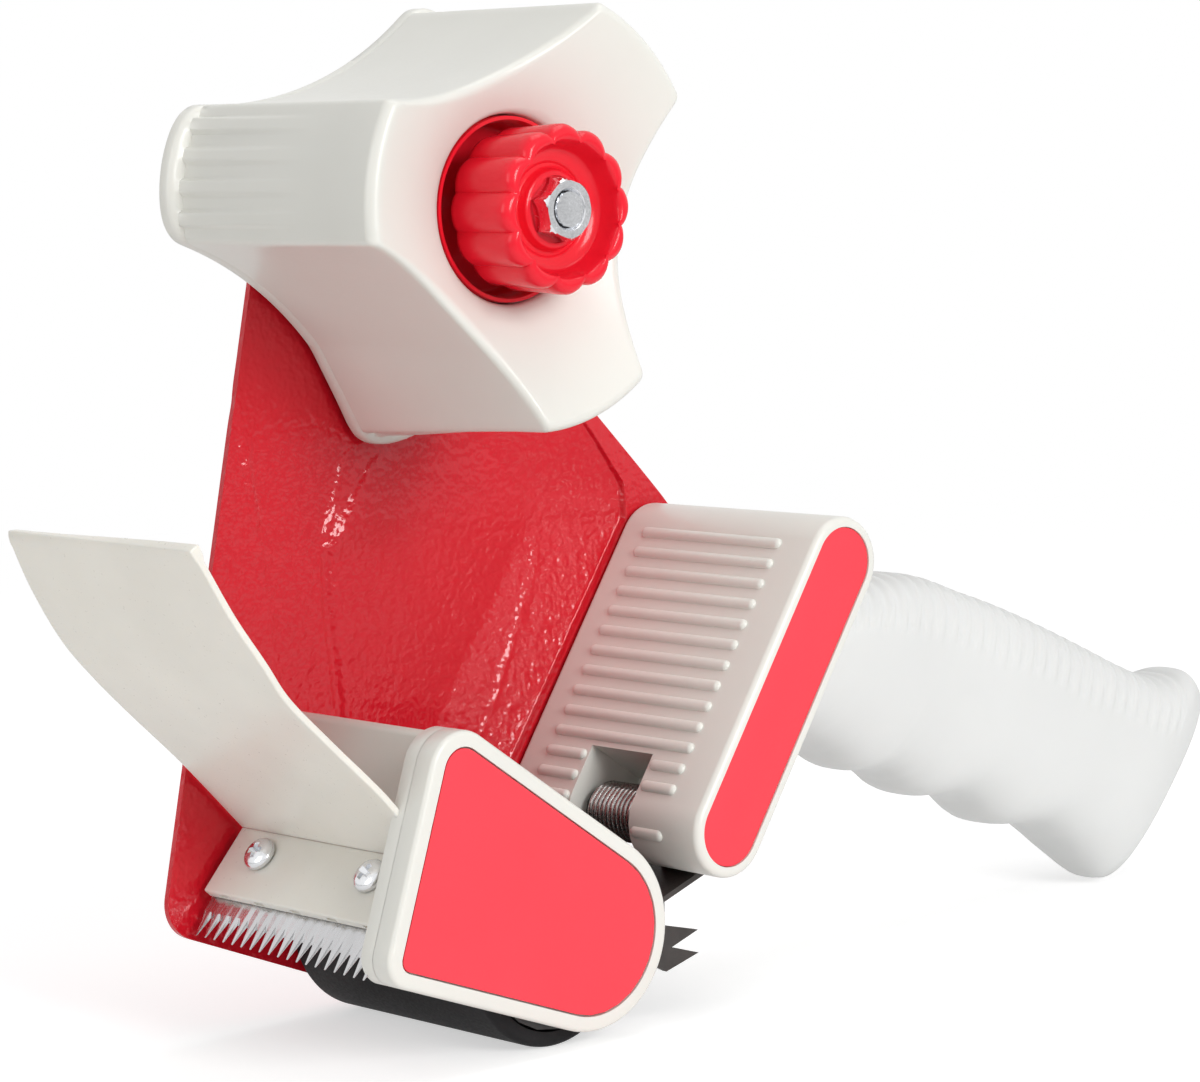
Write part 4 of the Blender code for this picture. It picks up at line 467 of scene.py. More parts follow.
STREAK_FADE = (0.0040, 0.0160)
FOLD_RISE, FOLD_WIDTH = 0.00022, 0.0006
GROOVE_DEPTH, GROOVE_WIDTH, GROOVE_GAP = 0.00020, 0.0008, 0.0016
BEAD_RISE, LOW_BEAD_RISE, BEAD_WIDTH = 0.00065, 0.00014, 0.0009


def plate_outline():
    return rounded_hull(
        [
            (0.0, HUB_Z, 0.0167),
            (-0.0366, 0.0249, 0.0069),
            (0.0049, 0.0195, 0.0176),
            (HOUSING_FOOT.x, HOUSING_FOOT.y, HOUSING_R + PLATE_MARGIN),
            (HOUSING_TOP.x, HOUSING_TOP.y, HOUSING_R + PLATE_MARGIN),
        ],
        1.5,
    )


def polyline_x(points, z):
    """X of a line of (x, z) points at a height, carried on straight past its ends."""
    points = sorted(points, key=lambda p: p[1])
    for i in range(len(points) - 1):
        if z <= points[i + 1][1] or i == len(points) - 2:
            (xa, za), (xb, zb) = points[i], points[i + 1]
            return xa + (xb - xa) * (z - za) / (zb - za)


def plate_lines(x, z):
    """How far the face stands out along the streaks, the fold and the bead."""
    rise = 0.0
    reach = smooth_step(*STREAK_FOOT, z) * (1.0 - smooth_step(*STREAK_HEAD, z))
    if reach:
        for streak in STREAKS:
            aside = x - polyline_x(streak, z)
            slope = smooth_step(-STREAK_HALF, STREAK_HALF, aside)
            rise += STREAK_RISE * reach * slope * (1.0 - smooth_step(*STREAK_FADE, aside))
    fold = smooth_step(*FOLD_FOOT, z) * (1.0 - smooth_step(*FOLD_HEAD, z))
    aside = x - polyline_x(FOLD_LINE, z)
    rise += FOLD_RISE * fold * hump(aside, FOLD_WIDTH)
    rise -= GROOVE_DEPTH * fold * hump(aside - GROOVE_GAP, GROOVE_WIDTH)
    upper = smooth_step(*BEAD_FOOT, z) * (1.0 - smooth_step(*BEAD_HEAD, z))
    height = BEAD_RISE * upper + LOW_BEAD_RISE * (1.0 - upper) * smooth_step(*LOW_BEAD_FOOT, z)
    return rise + height * hump(x - polyline_x(BEAD_LINE, z), BEAD_WIDTH)


def plate_relief(x, z):
    """Y of the pressed side plate's face at a point."""
    away = smooth_step(*HUB_CLEARANCE, math.hypot(x, z - HUB_Z))
    low = smooth_step(*PANEL_FOOT, z)
    lower = smooth_step(*CLIMB_FOOT, z)
    step = polyline_x(STEP_LINE, z)
    ridge = min(polyline_x(RIDGE_LINE, z), step - RIDGE_GAP)
    crease = polyline_x(CREASE_LINE, z)
    high = 1.0 - smooth_step(*PANEL_HEAD, z)
    panel = smooth_step(crease - 0.0019, crease + 0.0021, x)
    swell = 1.0 - math.exp(-max(0.0, x - crease) / SWELL_REACH)
    bulge = BULGE * (0.75 * panel + 0.25 * swell) * low * (0.25 + 0.75 * high) * away
    run = clamp_step(min(ridge, step - CLIMB_RUN), step, x)
    climb = 0.86 * run + 0.14 * run * run
    pad = FLOOR_Y - bulge - (FLOOR_Y - STEP - bulge) * climb * lower
    corner = 1.0 - clamp_step(*CORNER_FADE, z)
    top = FLOOR_Y - bulge * corner - TOP_CLIMB * climb * away
    y = pad * corner + top * (1.0 - corner)
    y -= STEP * smooth_step(step, step + STEP_WIDTH, x) * corner * lower
    y -= RIDGE_RISE * hump(x - ridge, RIDGE_WIDTH) * low * away
    return y - plate_lines(x, z)


def span_at(outline, z):
    """Left and right ends of a convex outline at a height."""
    hits = []
    for i in range(len(outline)):
        (xa, za), (xb, zb) = outline[i], outline[(i + 1) % len(outline)]
        if (za <= z < zb) or (zb <= z < za):
            hits.append(xa + (xb - xa) * (z - za) / (zb - za))
    return min(hits), max(hits)


def plate_marks(z, left, right):
    """Where the plate's columns get closer or wider, between its left and right ends."""
    step = polyline_x(STEP_LINE, z)
    crease = polyline_x(CREASE_LINE, z)
    edge = min(max(step - 0.0002, left + 0.0003), right - 0.0003)
    band = min(max(crease - 0.0065, left + 0.0001), edge - 0.0002)
    band_end = min(max(crease + 0.0050, band + 0.0001), edge - 0.0001)
    return [left, band, band_end, edge, min(max(step + 0.0012, edge + 0.0001), right - 0.0001), right]


def make_plate():
    outline = plate_outline()
    low = min(p[1] for p in outline)
    high = max(p[1] for p in outline)
    rows = 300
    columns = (44, 52, 62, 8, 26)
    tip = 0.00002
    data = bmesh.new()
    grid = []
    for r in range(rows + 1):
        t = 0.5 - 0.5 * math.cos(math.pi * r / rows)
        z = low + (high - low) * min(1.0 - tip, max(tip, t))
        left, right = span_at(outline, z)
        marks = plate_marks(z, left, right)
        row = []
        for first, second, count in zip(marks, marks[1:], columns):
            for c in range(count):
                x = first + (second - first) * c / count
                row.append(data.verts.new((x, plate_relief(x, z), z)))
        row.append(data.verts.new((right, plate_relief(right, z), z)))
        grid.append(row)
    for r in range(rows):
        for c in range(sum(columns)):
            data.faces.new((grid[r][c], grid[r][c + 1], grid[r + 1][c + 1], grid[r + 1][c]))
    plate = to_object("plate_sheet", data, PAINT, "frame", ["side_plate"], 50.0)
    if plate.data.polygons[0].normal.y > 0.0:
        plate.data.flip_normals()
    solid = plate.modifiers.new("sheet", "SOLIDIFY")
    solid.thickness = PLATE_THICKNESS
    solid.offset = -1.0
    add_bevel(plate, 0.00028, 2, 60.0)
    apply_modifiers(plate, 55.0)


# Hub: angles are in degrees round its axis, and arms stand every third of a turn
HUB_R = 0.0378
HUB_VALLEY = 0.0234
HUB_HALF = 18.67
HUB_TURN = -12.2
HUB_FACE = -0.0500
HUB_FLANGE = 0.0012
HUB_BACK = 0.0048
HUB_HOLE = 0.0162
LIP = 0.0033
LIP_ROUND = 0.0008
CORNER_REACH = 1.4
FACE_ROUND = 0.0021
DISH_EDGE = 0.0362
DISH_DEPTH = 0.0086
RIB_COUNT = 4
RIB_PITCH = 0.0054
RIB_RISE = 0.0009
RIB_LENGTH = 0.033
ARM_SPAN = (0.75, 0.98)
LOW_ARM_DRAFT = 0.0022
HUB_DRIFT = 0.0006
BORE_R = 0.0052
WELL_DEPTH = 0.0196
POCKET_OUT, POCKET_IN, POCKET_HALF = 0.0347, 0.0193, 13.0


def hub_radius(angle, lip):
    """Distance of the hub's outline from its axis at an angle."""
    local = (angle - 180.0 - HUB_TURN) % 120.0
    if local > 60.0:
        local = 120.0 - local
    if local <= HUB_HALF:
        return HUB_R + lip * (1.0 - (local / HUB_HALF) ** 6)
    half = math.radians(60.0 - HUB_HALF)
    edge_out, edge_side = HUB_R * math.cos(half), HUB_R * math.sin(half)
    sag = edge_out - HUB_VALLEY
    big = (edge_side * edge_side + sag * sag) / (2.0 * sag)
    turn = math.radians(60.0 - local)
    centre = HUB_VALLEY + big
    side = centre * math.sin(turn)
    return centre * math.cos(turn) - math.sqrt(max(0.0, big * big - side * side))


def soft_radius(angle, lip):
    """The outline's radius with its corners rounded off by averaging."""
    total = 0.0
    weight_sum = 0.0
    for k in range(-4, 5):
        weight = 1.0 - abs(k) / 5.0
        total += hub_radius(angle + CORNER_REACH * k / 4.0, lip) * weight
        weight_sum += weight
    return total / weight_sum


def hub_dish(radius):
    """How far the near face is sunk at a radius."""
    t = clamp_step(-DISH_EDGE, -HUB_HOLE, -radius)
    return DISH_DEPTH * (0.75 * t + 0.25 * t * t)


def hub_rib(angle):
    """Crush ribs along each arm, as a share of their height at an angle."""
    local = (angle - 180.0 - HUB_TURN + 60.0) % 120.0 - 60.0
    across = math.radians(local) * HUB_R
    height = 0.0
    for k in range(RIB_COUNT):
        offset = (k - (RIB_COUNT - 1) / 2.0) * RIB_PITCH
        height = max(height, 1.0 - smooth_step(0.0009, 0.0017, abs(across - offset)))
    return height


def hub_ring(steps, inset, y, lip=0.0, rib=0.0, dished=False):
    """One ring of the hub's outline, with draft toward the plate."""
    ring = []
    deep = smooth_step(HUB_FACE, HUB_BACK, y)
    for i in range(steps):
        angle = 360.0 * i / steps
        turn = math.radians(angle - 180.0 - HUB_TURN)
        arm = 0.5 + 0.5 * math.cos(3.0 * turn)
        radius = soft_radius(angle, lip * (0.2 + 0.8 * arm * arm)) - inset
        radius += rib * hub_rib(angle)
        low_arm = smooth_step(*ARM_SPAN, math.cos(turn - math.radians(120.0)))
        radius += LOW_ARM_DRAFT * deep * low_arm
        depth = y + (hub_dish(radius) if dished else 0.0)
        ring.append(around(HUB_DRIFT * deep, HUB_Z, radius, math.radians(angle), depth))
    return ring


def hub_face_rings(steps, edge):
    """Rings from the face's edge in to the hole, over the dish."""
    rings = []
    for k in range(1, 17):
        share = k / 16.0
        ring = []
        for i in range(steps):
            x, y, z = edge[i]
            start = math.hypot(x, z - HUB_Z)
            radius = start + (HUB_HOLE + 0.0006 - start) * share
            ring.append(around(0.0, HUB_Z, radius, math.tau * i / steps, HUB_FACE + hub_dish(radius)))
        rings.append(ring)
    return rings


def make_hub():
    steps = 720
    made = [
        hub_ring(steps, LIP_ROUND, HUB_BACK, LIP),
        hub_ring(steps, 0.0, HUB_BACK - LIP_ROUND, LIP),
        hub_ring(steps, 0.0, HUB_FLANGE + 0.0010, LIP),
        hub_ring(steps, 0.0003, HUB_FLANGE + 0.0003, LIP * 0.95),
        hub_ring(steps, 0.0006, HUB_FLANGE, LIP * 0.75),
        hub_ring(steps, 0.0, HUB_FLANGE - 0.0002, 0.0004, RIB_RISE),
    ]
    for k in range(1, 15):
        share = k / 14.0
        y = HUB_FLANGE - 0.0002 - RIB_LENGTH * share
        made.append(hub_ring(steps, 0.0, y, 0.0, RIB_RISE * (1.0 - share)))
    made.append(hub_ring(steps, 0.0, HUB_FACE + 0.010))
    for k in range(6, -1, -1):
        a = math.pi / 2.0 * k / 6
        inset, y = FACE_ROUND * (1.0 - math.sin(a)), HUB_FACE + FACE_ROUND * (1.0 - math.cos(a))
        made.append(hub_ring(steps, inset, y, dished=True))
    made += hub_face_rings(steps, made[-1])
    for radius, y in (
        (HUB_HOLE + 0.0002, HUB_FACE + DISH_DEPTH + 0.0002),
        (HUB_HOLE, HUB_FACE + DISH_DEPTH + 0.0007),
        (HUB_HOLE, HUB_FACE + WELL_DEPTH),
        (BORE_R, HUB_FACE + WELL_DEPTH),
        (BORE_R, HUB_BACK),
    ):
        made.append(circle(0.0, HUB_Z, radius, y, steps))
    hub = to_object("hub_shell", loft(made, closed=True), WARM, "hub", ["hub"], 50.0)
    pockets = bmesh.new()
    for arm in range(3):
        middle = 180.0 + HUB_TURN + 120.0 * arm
        start, end = middle - POCKET_HALF, middle + POCKET_HALF
        outline = arc(0.0, HUB_Z, POCKET_OUT, start, end, 10) + arc(0.0, HUB_Z, POCKET_IN, end, start, 8)
        merge(pockets, prism(outline, HUB_FACE + 0.014, HUB_BACK + 0.003))
    cut(hub, pockets)


# Knob, nut and cup
KNOB_FACE = HUB_FACE - 0.0063
KNOB_BACK = KNOB_FACE + 0.0155
BOSS_Y = KNOB_FACE + 0.0036
BOWL_Y = KNOB_FACE + 0.0054
KNOB_LOBES = 12
LOBE_DEPTH = 0.0013
NUT_FLATS = 0.0095
NUT_PROUD = 0.0036
NUT_SUNK = 0.0005
NUT_CHAMFER = 0.0006
NUT_BORE = 0.0031
NUT_TURN = 0.2
CUP_FLOOR_Y = HUB_FACE + 0.0193
CUP_RIM_Y = HUB_FACE + 0.0090


def make_knob():
    """Knob from stations of radius, y and share of the lobes' depth."""
    steps = KNOB_LOBES * 24
    stations = [
        (0.0118, KNOB_FACE + 0.0002, 0.35), (0.0122, KNOB_FACE, 0.7),
        (0.0129, KNOB_FACE, 1.0), (0.0135, KNOB_FACE + 0.0002, 1.0),
        (0.0140, KNOB_FACE + 0.0007, 1.0), (0.0143, KNOB_FACE + 0.0014, 1.0),
        (0.01432, KNOB_FACE + 0.0030, 1.0), (0.0140, KNOB_FACE + 0.0080, 0.85),
        (0.0138, KNOB_BACK - 0.0018, 0.7), (0.0134, KNOB_BACK - 0.0006, 0.6),
        (0.0126, KNOB_BACK, 0.4), (0.0097, KNOB_BACK, 0.0),
        (0.0095, KNOB_BACK - 0.0020, 0.0), (0.0034, KNOB_BACK - 0.0020, 0.0),
        (0.0034, BOSS_Y + 0.0006, 0.0), (0.0056, BOSS_Y + 0.0006, 0.0),
        (0.0057, BOSS_Y, 0.0), (0.0064, BOSS_Y, 0.0),
        (0.0067, BOSS_Y + 0.0003, 0.0), (0.0069, BOWL_Y - 0.0002, 0.0),
        (0.0072, BOWL_Y, 0.0), (0.0078, BOWL_Y, 0.0),
        (0.0081, BOWL_Y - 0.0004, 0.0), (0.0086, BOWL_Y - 0.0005, 0.0),
        (0.0100, BOWL_Y - 0.0008, 0.0), (0.0106, BOWL_Y - 0.0016, 0.0),
        (0.0112, KNOB_FACE + 0.0016, 0.0), (0.0115, KNOB_FACE + 0.0006, 0.15),
    ]
    rings = []
    for radius, y, scallop in stations:
        ring = []
        for i in range(steps):
            a = math.tau * i / steps
            wave = abs(math.cos(KNOB_LOBES / 2.0 * a))
            dip = (wave**0.75 - 1.0) * LOBE_DEPTH * scallop
            ring.append(around(0.0, HUB_Z, radius + dip, a, y))
        rings.append(ring)
    knob = loft(rings, closed=True)
    to_object("knob_shell", knob, GLOSS_RED, "knob", ["tension_knob"], 50.0)


def make_nut():
    """A chamfered hex nut with its bore, turned from a fine ring."""
    steps = 144
    half = NUT_FLATS / 2.0
    corner = NUT_FLATS / math.sqrt(3.0)
    front, back = BOSS_Y - NUT_PROUD, BOSS_Y + NUT_SUNK
    rings = []
    for y, cap in (
        (front, half * 1.02),
        (front + NUT_CHAMFER * 0.4, half * 1.08),
        (front + NUT_CHAMFER, corner),
        (back, corner),
    ):
        ring = []
        for i in range(steps):
            a = math.tau * i / steps
            local = (a + math.pi / 6.0) % (math.pi / 3.0) - math.pi / 6.0
            reach = min(half / math.cos(local), cap)
            ring.append(around(0.0, HUB_Z, reach, a + NUT_TURN, y))
        rings.append(ring)
    for radius, y in ((NUT_BORE, back), (NUT_BORE, front + 0.0006), (NUT_BORE + 0.0005, front)):
        rings.append(circle(0.0, HUB_Z, radius, y, steps, NUT_TURN))
    to_object("nut_m6", loft(rings, closed=True), ZINC, "knob", ["knob_nut"], 30.0)


def make_cup():
    profile = [
        (0.0036, CUP_FLOOR_Y), (0.0159, CUP_FLOOR_Y),
        (0.0159, CUP_RIM_Y + 0.0006), (0.0158, CUP_RIM_Y),
        (0.0152, CUP_RIM_Y), (0.0149, CUP_RIM_Y + 0.0008),
        (0.0147, CUP_RIM_Y + 0.0030), (0.0146, CUP_RIM_Y + 0.0075),
        (0.0138, CUP_FLOOR_Y - 0.0020), (0.0036, CUP_FLOOR_Y - 0.0020),
    ]
    cup = lathe(profile, 0.0, HUB_Z, 128, closed=True)
    to_object("cup_shell", cup, GLOSS_RED, "hub", ["tension_cup"], 50.0)


# Guard
GUARD_RIM = 0.0027
GUARD_LIP = 0.0030
LIP_FROM_X = -0.0225
LIP_CENTRE = (-0.022, 0.037)
BAR_SEAT = 0.0032
GUARD_WALL = 0.003
WALL_TOP = Vector((-0.0195, 0.0573))
BOSS_R = 0.0034
BOSS_LENGTH = 0.016
BOSS_PLACES = ((-0.0184, 0.0496), (-0.0282, 0.0272))


def guard_piece(name, data):
    return to_object(name, data, WARM, "frame", ["front_guard"])


def round_the_lip(line):
    """The points of an outline at the lip, in order round its middle."""
    x, z = LIP_CENTRE
    points = [p for p in line if p[0] < LIP_FROM_X]
    return sorted(points, key=lambda p: math.atan2(p[1] - z, p[0] - x) % math.tau)


def make_guard():
    outline = rounded_hull(GUARD_CORNERS)
    end = guard_piece("guard_end", prism(outline, OPEN_Y, GUARD_IN_Y))
    rounded(end, 0.0009, 4, 50.0)
    recess = rounded_hull(shrunk(GUARD_CORNERS, GUARD_RIM))
    cut(end, prism(recess, OPEN_Y - CUT_OVERRUN, OPEN_Y + INLAY_DEPTH))
    inside = rounded_hull(shrunk(GUARD_CORNERS, GUARD_LIP))
    band = round_the_lip(outline) + list(reversed(round_the_lip(inside)))
    rim = guard_piece("guard_rim", prism(band, GUARD_IN_Y - 0.0012, GUARD_IN_Y + 0.0021))
    rounded(rim, 0.0004, 3, 50.0)
    low_front = BAR_CORNER + BAR_DOWN * BAR_LENGTH - BAR_OUT * BAR_SEAT
    low_back = BAR_CORNER + BAR_DOWN * (BAR_LENGTH - GUARD_WALL) - BAR_OUT * (BAR_SEAT + GUARD_WALL)
    elbow_front = BAR_CORNER - BAR_DOWN * 0.0012 - BAR_OUT * BAR_SEAT
    elbow_back = elbow_front - BAR_OUT * GUARD_WALL - BAR_DOWN * GUARD_WALL * 0.35
    rise = WALL_TOP - elbow_front
    across = Vector((rise.y, -rise.x)).normalized()
    crown = Vector((WALL_TOP.x, WALL_TOP.y - GUARD_WALL / 2.0)) + across * GUARD_WALL / 2.0
    turn = math.degrees(math.atan2(across.y, across.x))
    line = [low_front, low_back, elbow_back]
    line += arc(crown.x, crown.y, GUARD_WALL / 2.0, turn, turn + 180.0, 12)
    line.append(elbow_front)
    wall = guard_piece("guard_wall", prism(line, GUARD_IN_Y - 0.001, FLOOR_Y - SEAT_GAP))
    rounded(wall, 0.0004, 2, 40.0)
    for number, (x, z) in enumerate(BOSS_PLACES):
        boss = lathe([(BOSS_R, FLOOR_Y - BOSS_LENGTH), (BOSS_R, FLOOR_Y - SEAT_GAP)], x, z, 40)
        guard_piece("guard_boss_%d" % (number + 1), boss)


# Wiper flap, bar and blade: the flap's curve at its far and near edge
FLAP_POINTS = [
    (-0.0281, 0.0370), (-0.0402, 0.0497), (-0.0513, 0.0603), (-0.0586, 0.0676), (-0.0646, 0.0746),
    (-0.0700, 0.0836), (-0.0736, 0.0917), (-0.0740, 0.0944),
]
FLAP_NEAR_POINTS = [
    (-0.0281, 0.0370), (-0.0316, 0.0430), (-0.0365, 0.0489), (-0.0476, 0.0594), (-0.0555, 0.0672),
    (-0.0602, 0.0739), (-0.0660, 0.0820), (-0.0710, 0.0903), (-0.0733, 0.0941),
]
FLAP_THICKNESS = 0.0012
FLAP_LIP = 0.0006
BAR_THICKNESS = 0.0020
SLOT_COUNT = 5
SLOT_HALF = 0.0013
SLOT_FRONT, SLOT_BACK = 0.0006, 0.0016
SLOT_DEPTH = 0.0008
BLADE_TEETH = 19
TOOTH_LENGTH = 0.0037
BLADE_FRONT, BLADE_BACK = 0.0023, 0.0029
BLADE_TOP = 0.0012
BLADE_BEVEL = 0.0009
BLADE_EDGE = 0.00012
BLADE_DROP = 0.0013
SCREW_LINE = 0.0048
SCREW_INSET = 0.0098
CROSS_DEPTHS = ((-0.0024, 0.00062, 0.0020), (-0.0008, 0.00030, 0.0007))


def flap_grid(data, back, along, across):
    """Points of one face of the flap, from its far edge to its near edge."""
    far_line, near_line = even_line(FLAP_POINTS, along), even_line(FLAP_NEAR_POINTS, along)
    grid = []
    for j in range(across + 1):
        share = j / across
        y = FLAP_FAR + (FLAP_NEAR - FLAP_FAR) * share
        lean = smooth_step(0.0, 1.0, share)
        line = [a.lerp(b, lean) for a, b in zip(far_line, near_line)]
        row = []
        for i, point in enumerate(line):
            ahead = (line[min(i + 1, along)] - line[max(i - 1, 0)]).normalized()
            side = Vector((ahead.y, -ahead.x))
            lip = FLAP_LIP * smooth_step(0.955, 0.98, i / along)
            spot = point + side * (FLAP_THICKNESS + lip) if back else point - side * lip * 0.4
            row.append(data.verts.new((spot.x, y, spot.y)))
        grid.append(row)
    return grid


def make_flap_sheet():
    along, across = 72, 20
    data = bmesh.new()
    front, back = [flap_grid(data, side, along, across) for side in (False, True)]
    for grid in (front, back):
        for first, second in zip(grid, grid[1:]):
            for i in range(along):
                data.faces.new((first[i], first[i + 1], second[i + 1], second[i]))
    for j in range(across):
        for i in (0, along):
            data.faces.new((front[j][i], front[j + 1][i], back[j + 1][i], back[j][i]))
    for i in range(along):
        for j in (0, across):
            data.faces.new((front[j][i], front[j][i + 1], back[j][i + 1], back[j][i]))
    flap = to_object("flap_sheet", data, MILKY, "frame", ["wiper_flap"], 60.0)
    rounded(flap, 0.0003, 3, 60.0)


def make_flap_bar():
    foot = BAR_CORNER + BAR_DOWN * BAR_LENGTH
    root = BAR_CORNER - BAR_DOWN * 0.0002
    line = [root, foot, foot - BAR_OUT * BAR_THICKNESS, root - BAR_OUT * BAR_THICKNESS]
    data = prism(line, FLAP_NEAR, FLAP_FAR)
    bar = to_object("flap_bar", data, MILKY, "frame", ["wiper_flap"])
    rounded(bar, 0.0003, 3, 40.0)
    slots = bmesh.new()
    for k in range(SLOT_COUNT):
        middle = FLAP_NEAR + (FLAP_FAR - FLAP_NEAR) * (k + 0.5) / SLOT_COUNT
        line = [
            foot - BAR_OUT * SLOT_FRONT - BAR_DOWN * SLOT_DEPTH,
            foot - BAR_OUT * SLOT_BACK - BAR_DOWN * SLOT_DEPTH,
            foot - BAR_OUT * SLOT_BACK + BAR_DOWN * CUT_OVERRUN,
            foot - BAR_OUT * SLOT_FRONT + BAR_DOWN * CUT_OVERRUN,
        ]
        merge(slots, prism(line, middle - SLOT_HALF, middle + SLOT_HALF))
    cut(bar, slots)


def make_blade():
    pitch = (FLAP_FAR - FLAP_NEAR) / BLADE_TEETH
    root_line = BAR_LENGTH + 0.0037
    tip_line = root_line + TOOTH_LENGTH
    data = bmesh.new()

    def spot(along, y, depth):
        p = BAR_CORNER + BAR_DOWN * along - BAR_OUT * depth
        return data.verts.new((p.x, y, p.y))

    plan = []
    for k in range(BLADE_TEETH):
        y0 = FLAP_NEAR + pitch * k
        drop = BLADE_DROP * (1.0 - k / (BLADE_TEETH - 1))
        plan += [(y0 + pitch * 0.10, root_line + drop), (y0 + pitch * 0.45, tip_line + drop)]
        plan += [(y0 + pitch * 0.55, tip_line + drop), (y0 + pitch * 0.90, root_line + drop)]
    front_edge = [spot(a, y, BLADE_BACK - BLADE_EDGE) for y, a in plan]
    back_edge = [spot(a, y, BLADE_BACK) for y, a in plan]
    front_line = [spot(root_line - BLADE_BEVEL, y, BLADE_FRONT) for y, a in plan]
    front_top = [spot(BLADE_TOP, y, BLADE_FRONT) for y, a in plan]
    back_top = [spot(BLADE_TOP, y, BLADE_BACK) for y, a in plan]
    strips = [back_top, front_top, front_line, front_edge, back_edge]
    for first, second in zip(strips, strips[1:] + strips[:1]):
        for i in range(len(plan) - 1):
            data.faces.new((first[i], first[i + 1], second[i + 1], second[i]))
    data.faces.new([strip[0] for strip in strips])
    data.faces.new([strip[-1] for strip in reversed(strips)])
    to_object("blade_strip", data, BLADE, "frame", ["cutter_blade"], 20.0)


def make_blade_screws():
    """Two pan heads with cross recesses; their profile is (radius, depth) from the seat."""
    profile = [
        (0.0013, 0.0060), (0.0013, 0.0), (0.0030, 0.0), (0.00315, -0.0003), (0.0031, -0.0009),
        (0.0027, -0.0014), (0.0021, -0.00175), (0.0012, -0.00195), (0.0003, -0.0020),
    ]
    spot = BAR_CORNER + BAR_DOWN * SCREW_LINE + BAR_OUT * SEAT_GAP
    axis = Vector((-BAR_OUT.x, 0.0, -BAR_OUT.y))
    turn = Vector((0.0, 1.0, 0.0)).rotation_difference(axis).to_matrix().to_4x4()
    for number, y in enumerate((FLAP_FAR - SCREW_INSET, FLAP_NEAR + SCREW_INSET)):
        data = lathe(profile, 0.0, 0.0, 64)
        place = Matrix.Translation((spot.x, y, spot.y)) @ turn @ Matrix.Rotation(0.5 + 0.6 * number, 4, "Y")
        bmesh.ops.transform(data, matrix=place, verts=data.verts)
        name = "blade_screw_head_%d" % (number + 1)
        screw = to_object(name, data, ZINC, "frame", ["blade_screw_%d" % (number + 1)], 30.0)
        cross = bmesh.new()
        for quarter in range(4):
            rings = []
            for depth, half, reach in CROSS_DEPTHS:
                corners = ((0.0, -half), (reach, -half), (reach, half), (0.0, half))
                rings.append([(x, depth, z) for x, z in corners])
            part = loft(rings)
            spin = place @ Matrix.Rotation(math.pi / 2.0 * quarter, 4, "Y")
            bmesh.ops.transform(part, matrix=spin, verts=part.verts)
            merge(cross, part)
        cut(screw, cross)


# Housing
HOUSING_DRAFT = 0.0005
NOTCH_FAR, NOTCH_NEAR = -0.0177, -0.0338
NOTCH_TOP = 0.0450
NOTCH_WALL = 0.0023
NOTCH_OUTSIDE = 0.003
NOTCH_REACH = 0.0101
INLAY_RIM = 0.00145
INLAY_SHIFT = 0.0003
INLAY_GAP = 0.00012
BODY_RIB_FIRST = 0.0012
BODY_RIB_PITCH = 0.00417
BODY_RIB_HALF, BODY_RIB_RISE = 0.00105, 0.00080
BODY_RIB_FAR, BODY_RIB_NEAR = -0.0065, -0.0432
STUB_FAR_END, STUB_NEAR_START = -0.0172, -0.0343
FOOT_RIB_NEAR, FOOT_RIB_ANGLE = -0.0425, 0.74


def housing_rib(along, y_far, y_near, on_curve):
    """A half-round rib across the housing's front, with rounded ends."""
    centre = HOUSING_TOP + OUT * HOUSING_R + DOWN * along
    rise, run = OUT, DOWN
    if on_curve:
        rise = (OUT * math.cos(on_curve) + DOWN * math.sin(on_curve)).normalized()
        run = Vector((rise.y, -rise.x))
        centre = HOUSING_FOOT + rise * HOUSING_R
    half = BODY_RIB_HALF
    turns = [math.pi / 2.0 * k / 5 for k in range(6)]
    stations = [(y_near + half * (1.0 - math.cos(a)), math.sin(a)) for a in turns]
    stations += [(y_far - half * (1.0 - math.cos(a)), math.sin(a)) for a in reversed(turns)]
    rings = []
    for y, share in stations:
        share = max(share, 0.05)
        ring = []
        for k in range(11):
            a = math.pi * k / 10
            p = centre + run * (half * share * math.cos(a)) + rise * (BODY_RIB_RISE * share * math.sin(a))
            ring.append((p.x, y, p.y))
        for k in (1, -1):
            p = centre + run * (-half * share * k) - rise * 0.0004
            ring.append((p.x, y, p.y))
        rings.append(ring)
    return loft(rings)


def notch_outline():
    """The notch in which the torsion spring sits, as cut through the housing's foot."""
    rear = HOUSING_R - NOTCH_WALL
    ceiling = HOUSING_TOP + DOWN * NOTCH_TOP
    x, z = HOUSING_FOOT
    return [
        ceiling + OUT * (HOUSING_R + NOTCH_OUTSIDE),
        ceiling - OUT * rear,
        HOUSING_FOOT - OUT * rear - DOWN * HOUSING_R * 0.31,
        Vector((x + NOTCH_REACH, z - HOUSING_R * 0.25)),
        Vector((x + NOTCH_REACH, z - NOTCH_REACH)),
        Vector((x - NOTCH_REACH, z - NOTCH_REACH)),
        HOUSING_FOOT + OUT * (HOUSING_R + NOTCH_OUTSIDE),
    ]


def moved_in(corners, shift, inset):
    """Corners shifted toward the handle, with an inset taken off their radii."""
    return [(x - OUT.x * shift, z - OUT.y * shift, radius - inset) for x, z, radius in corners]


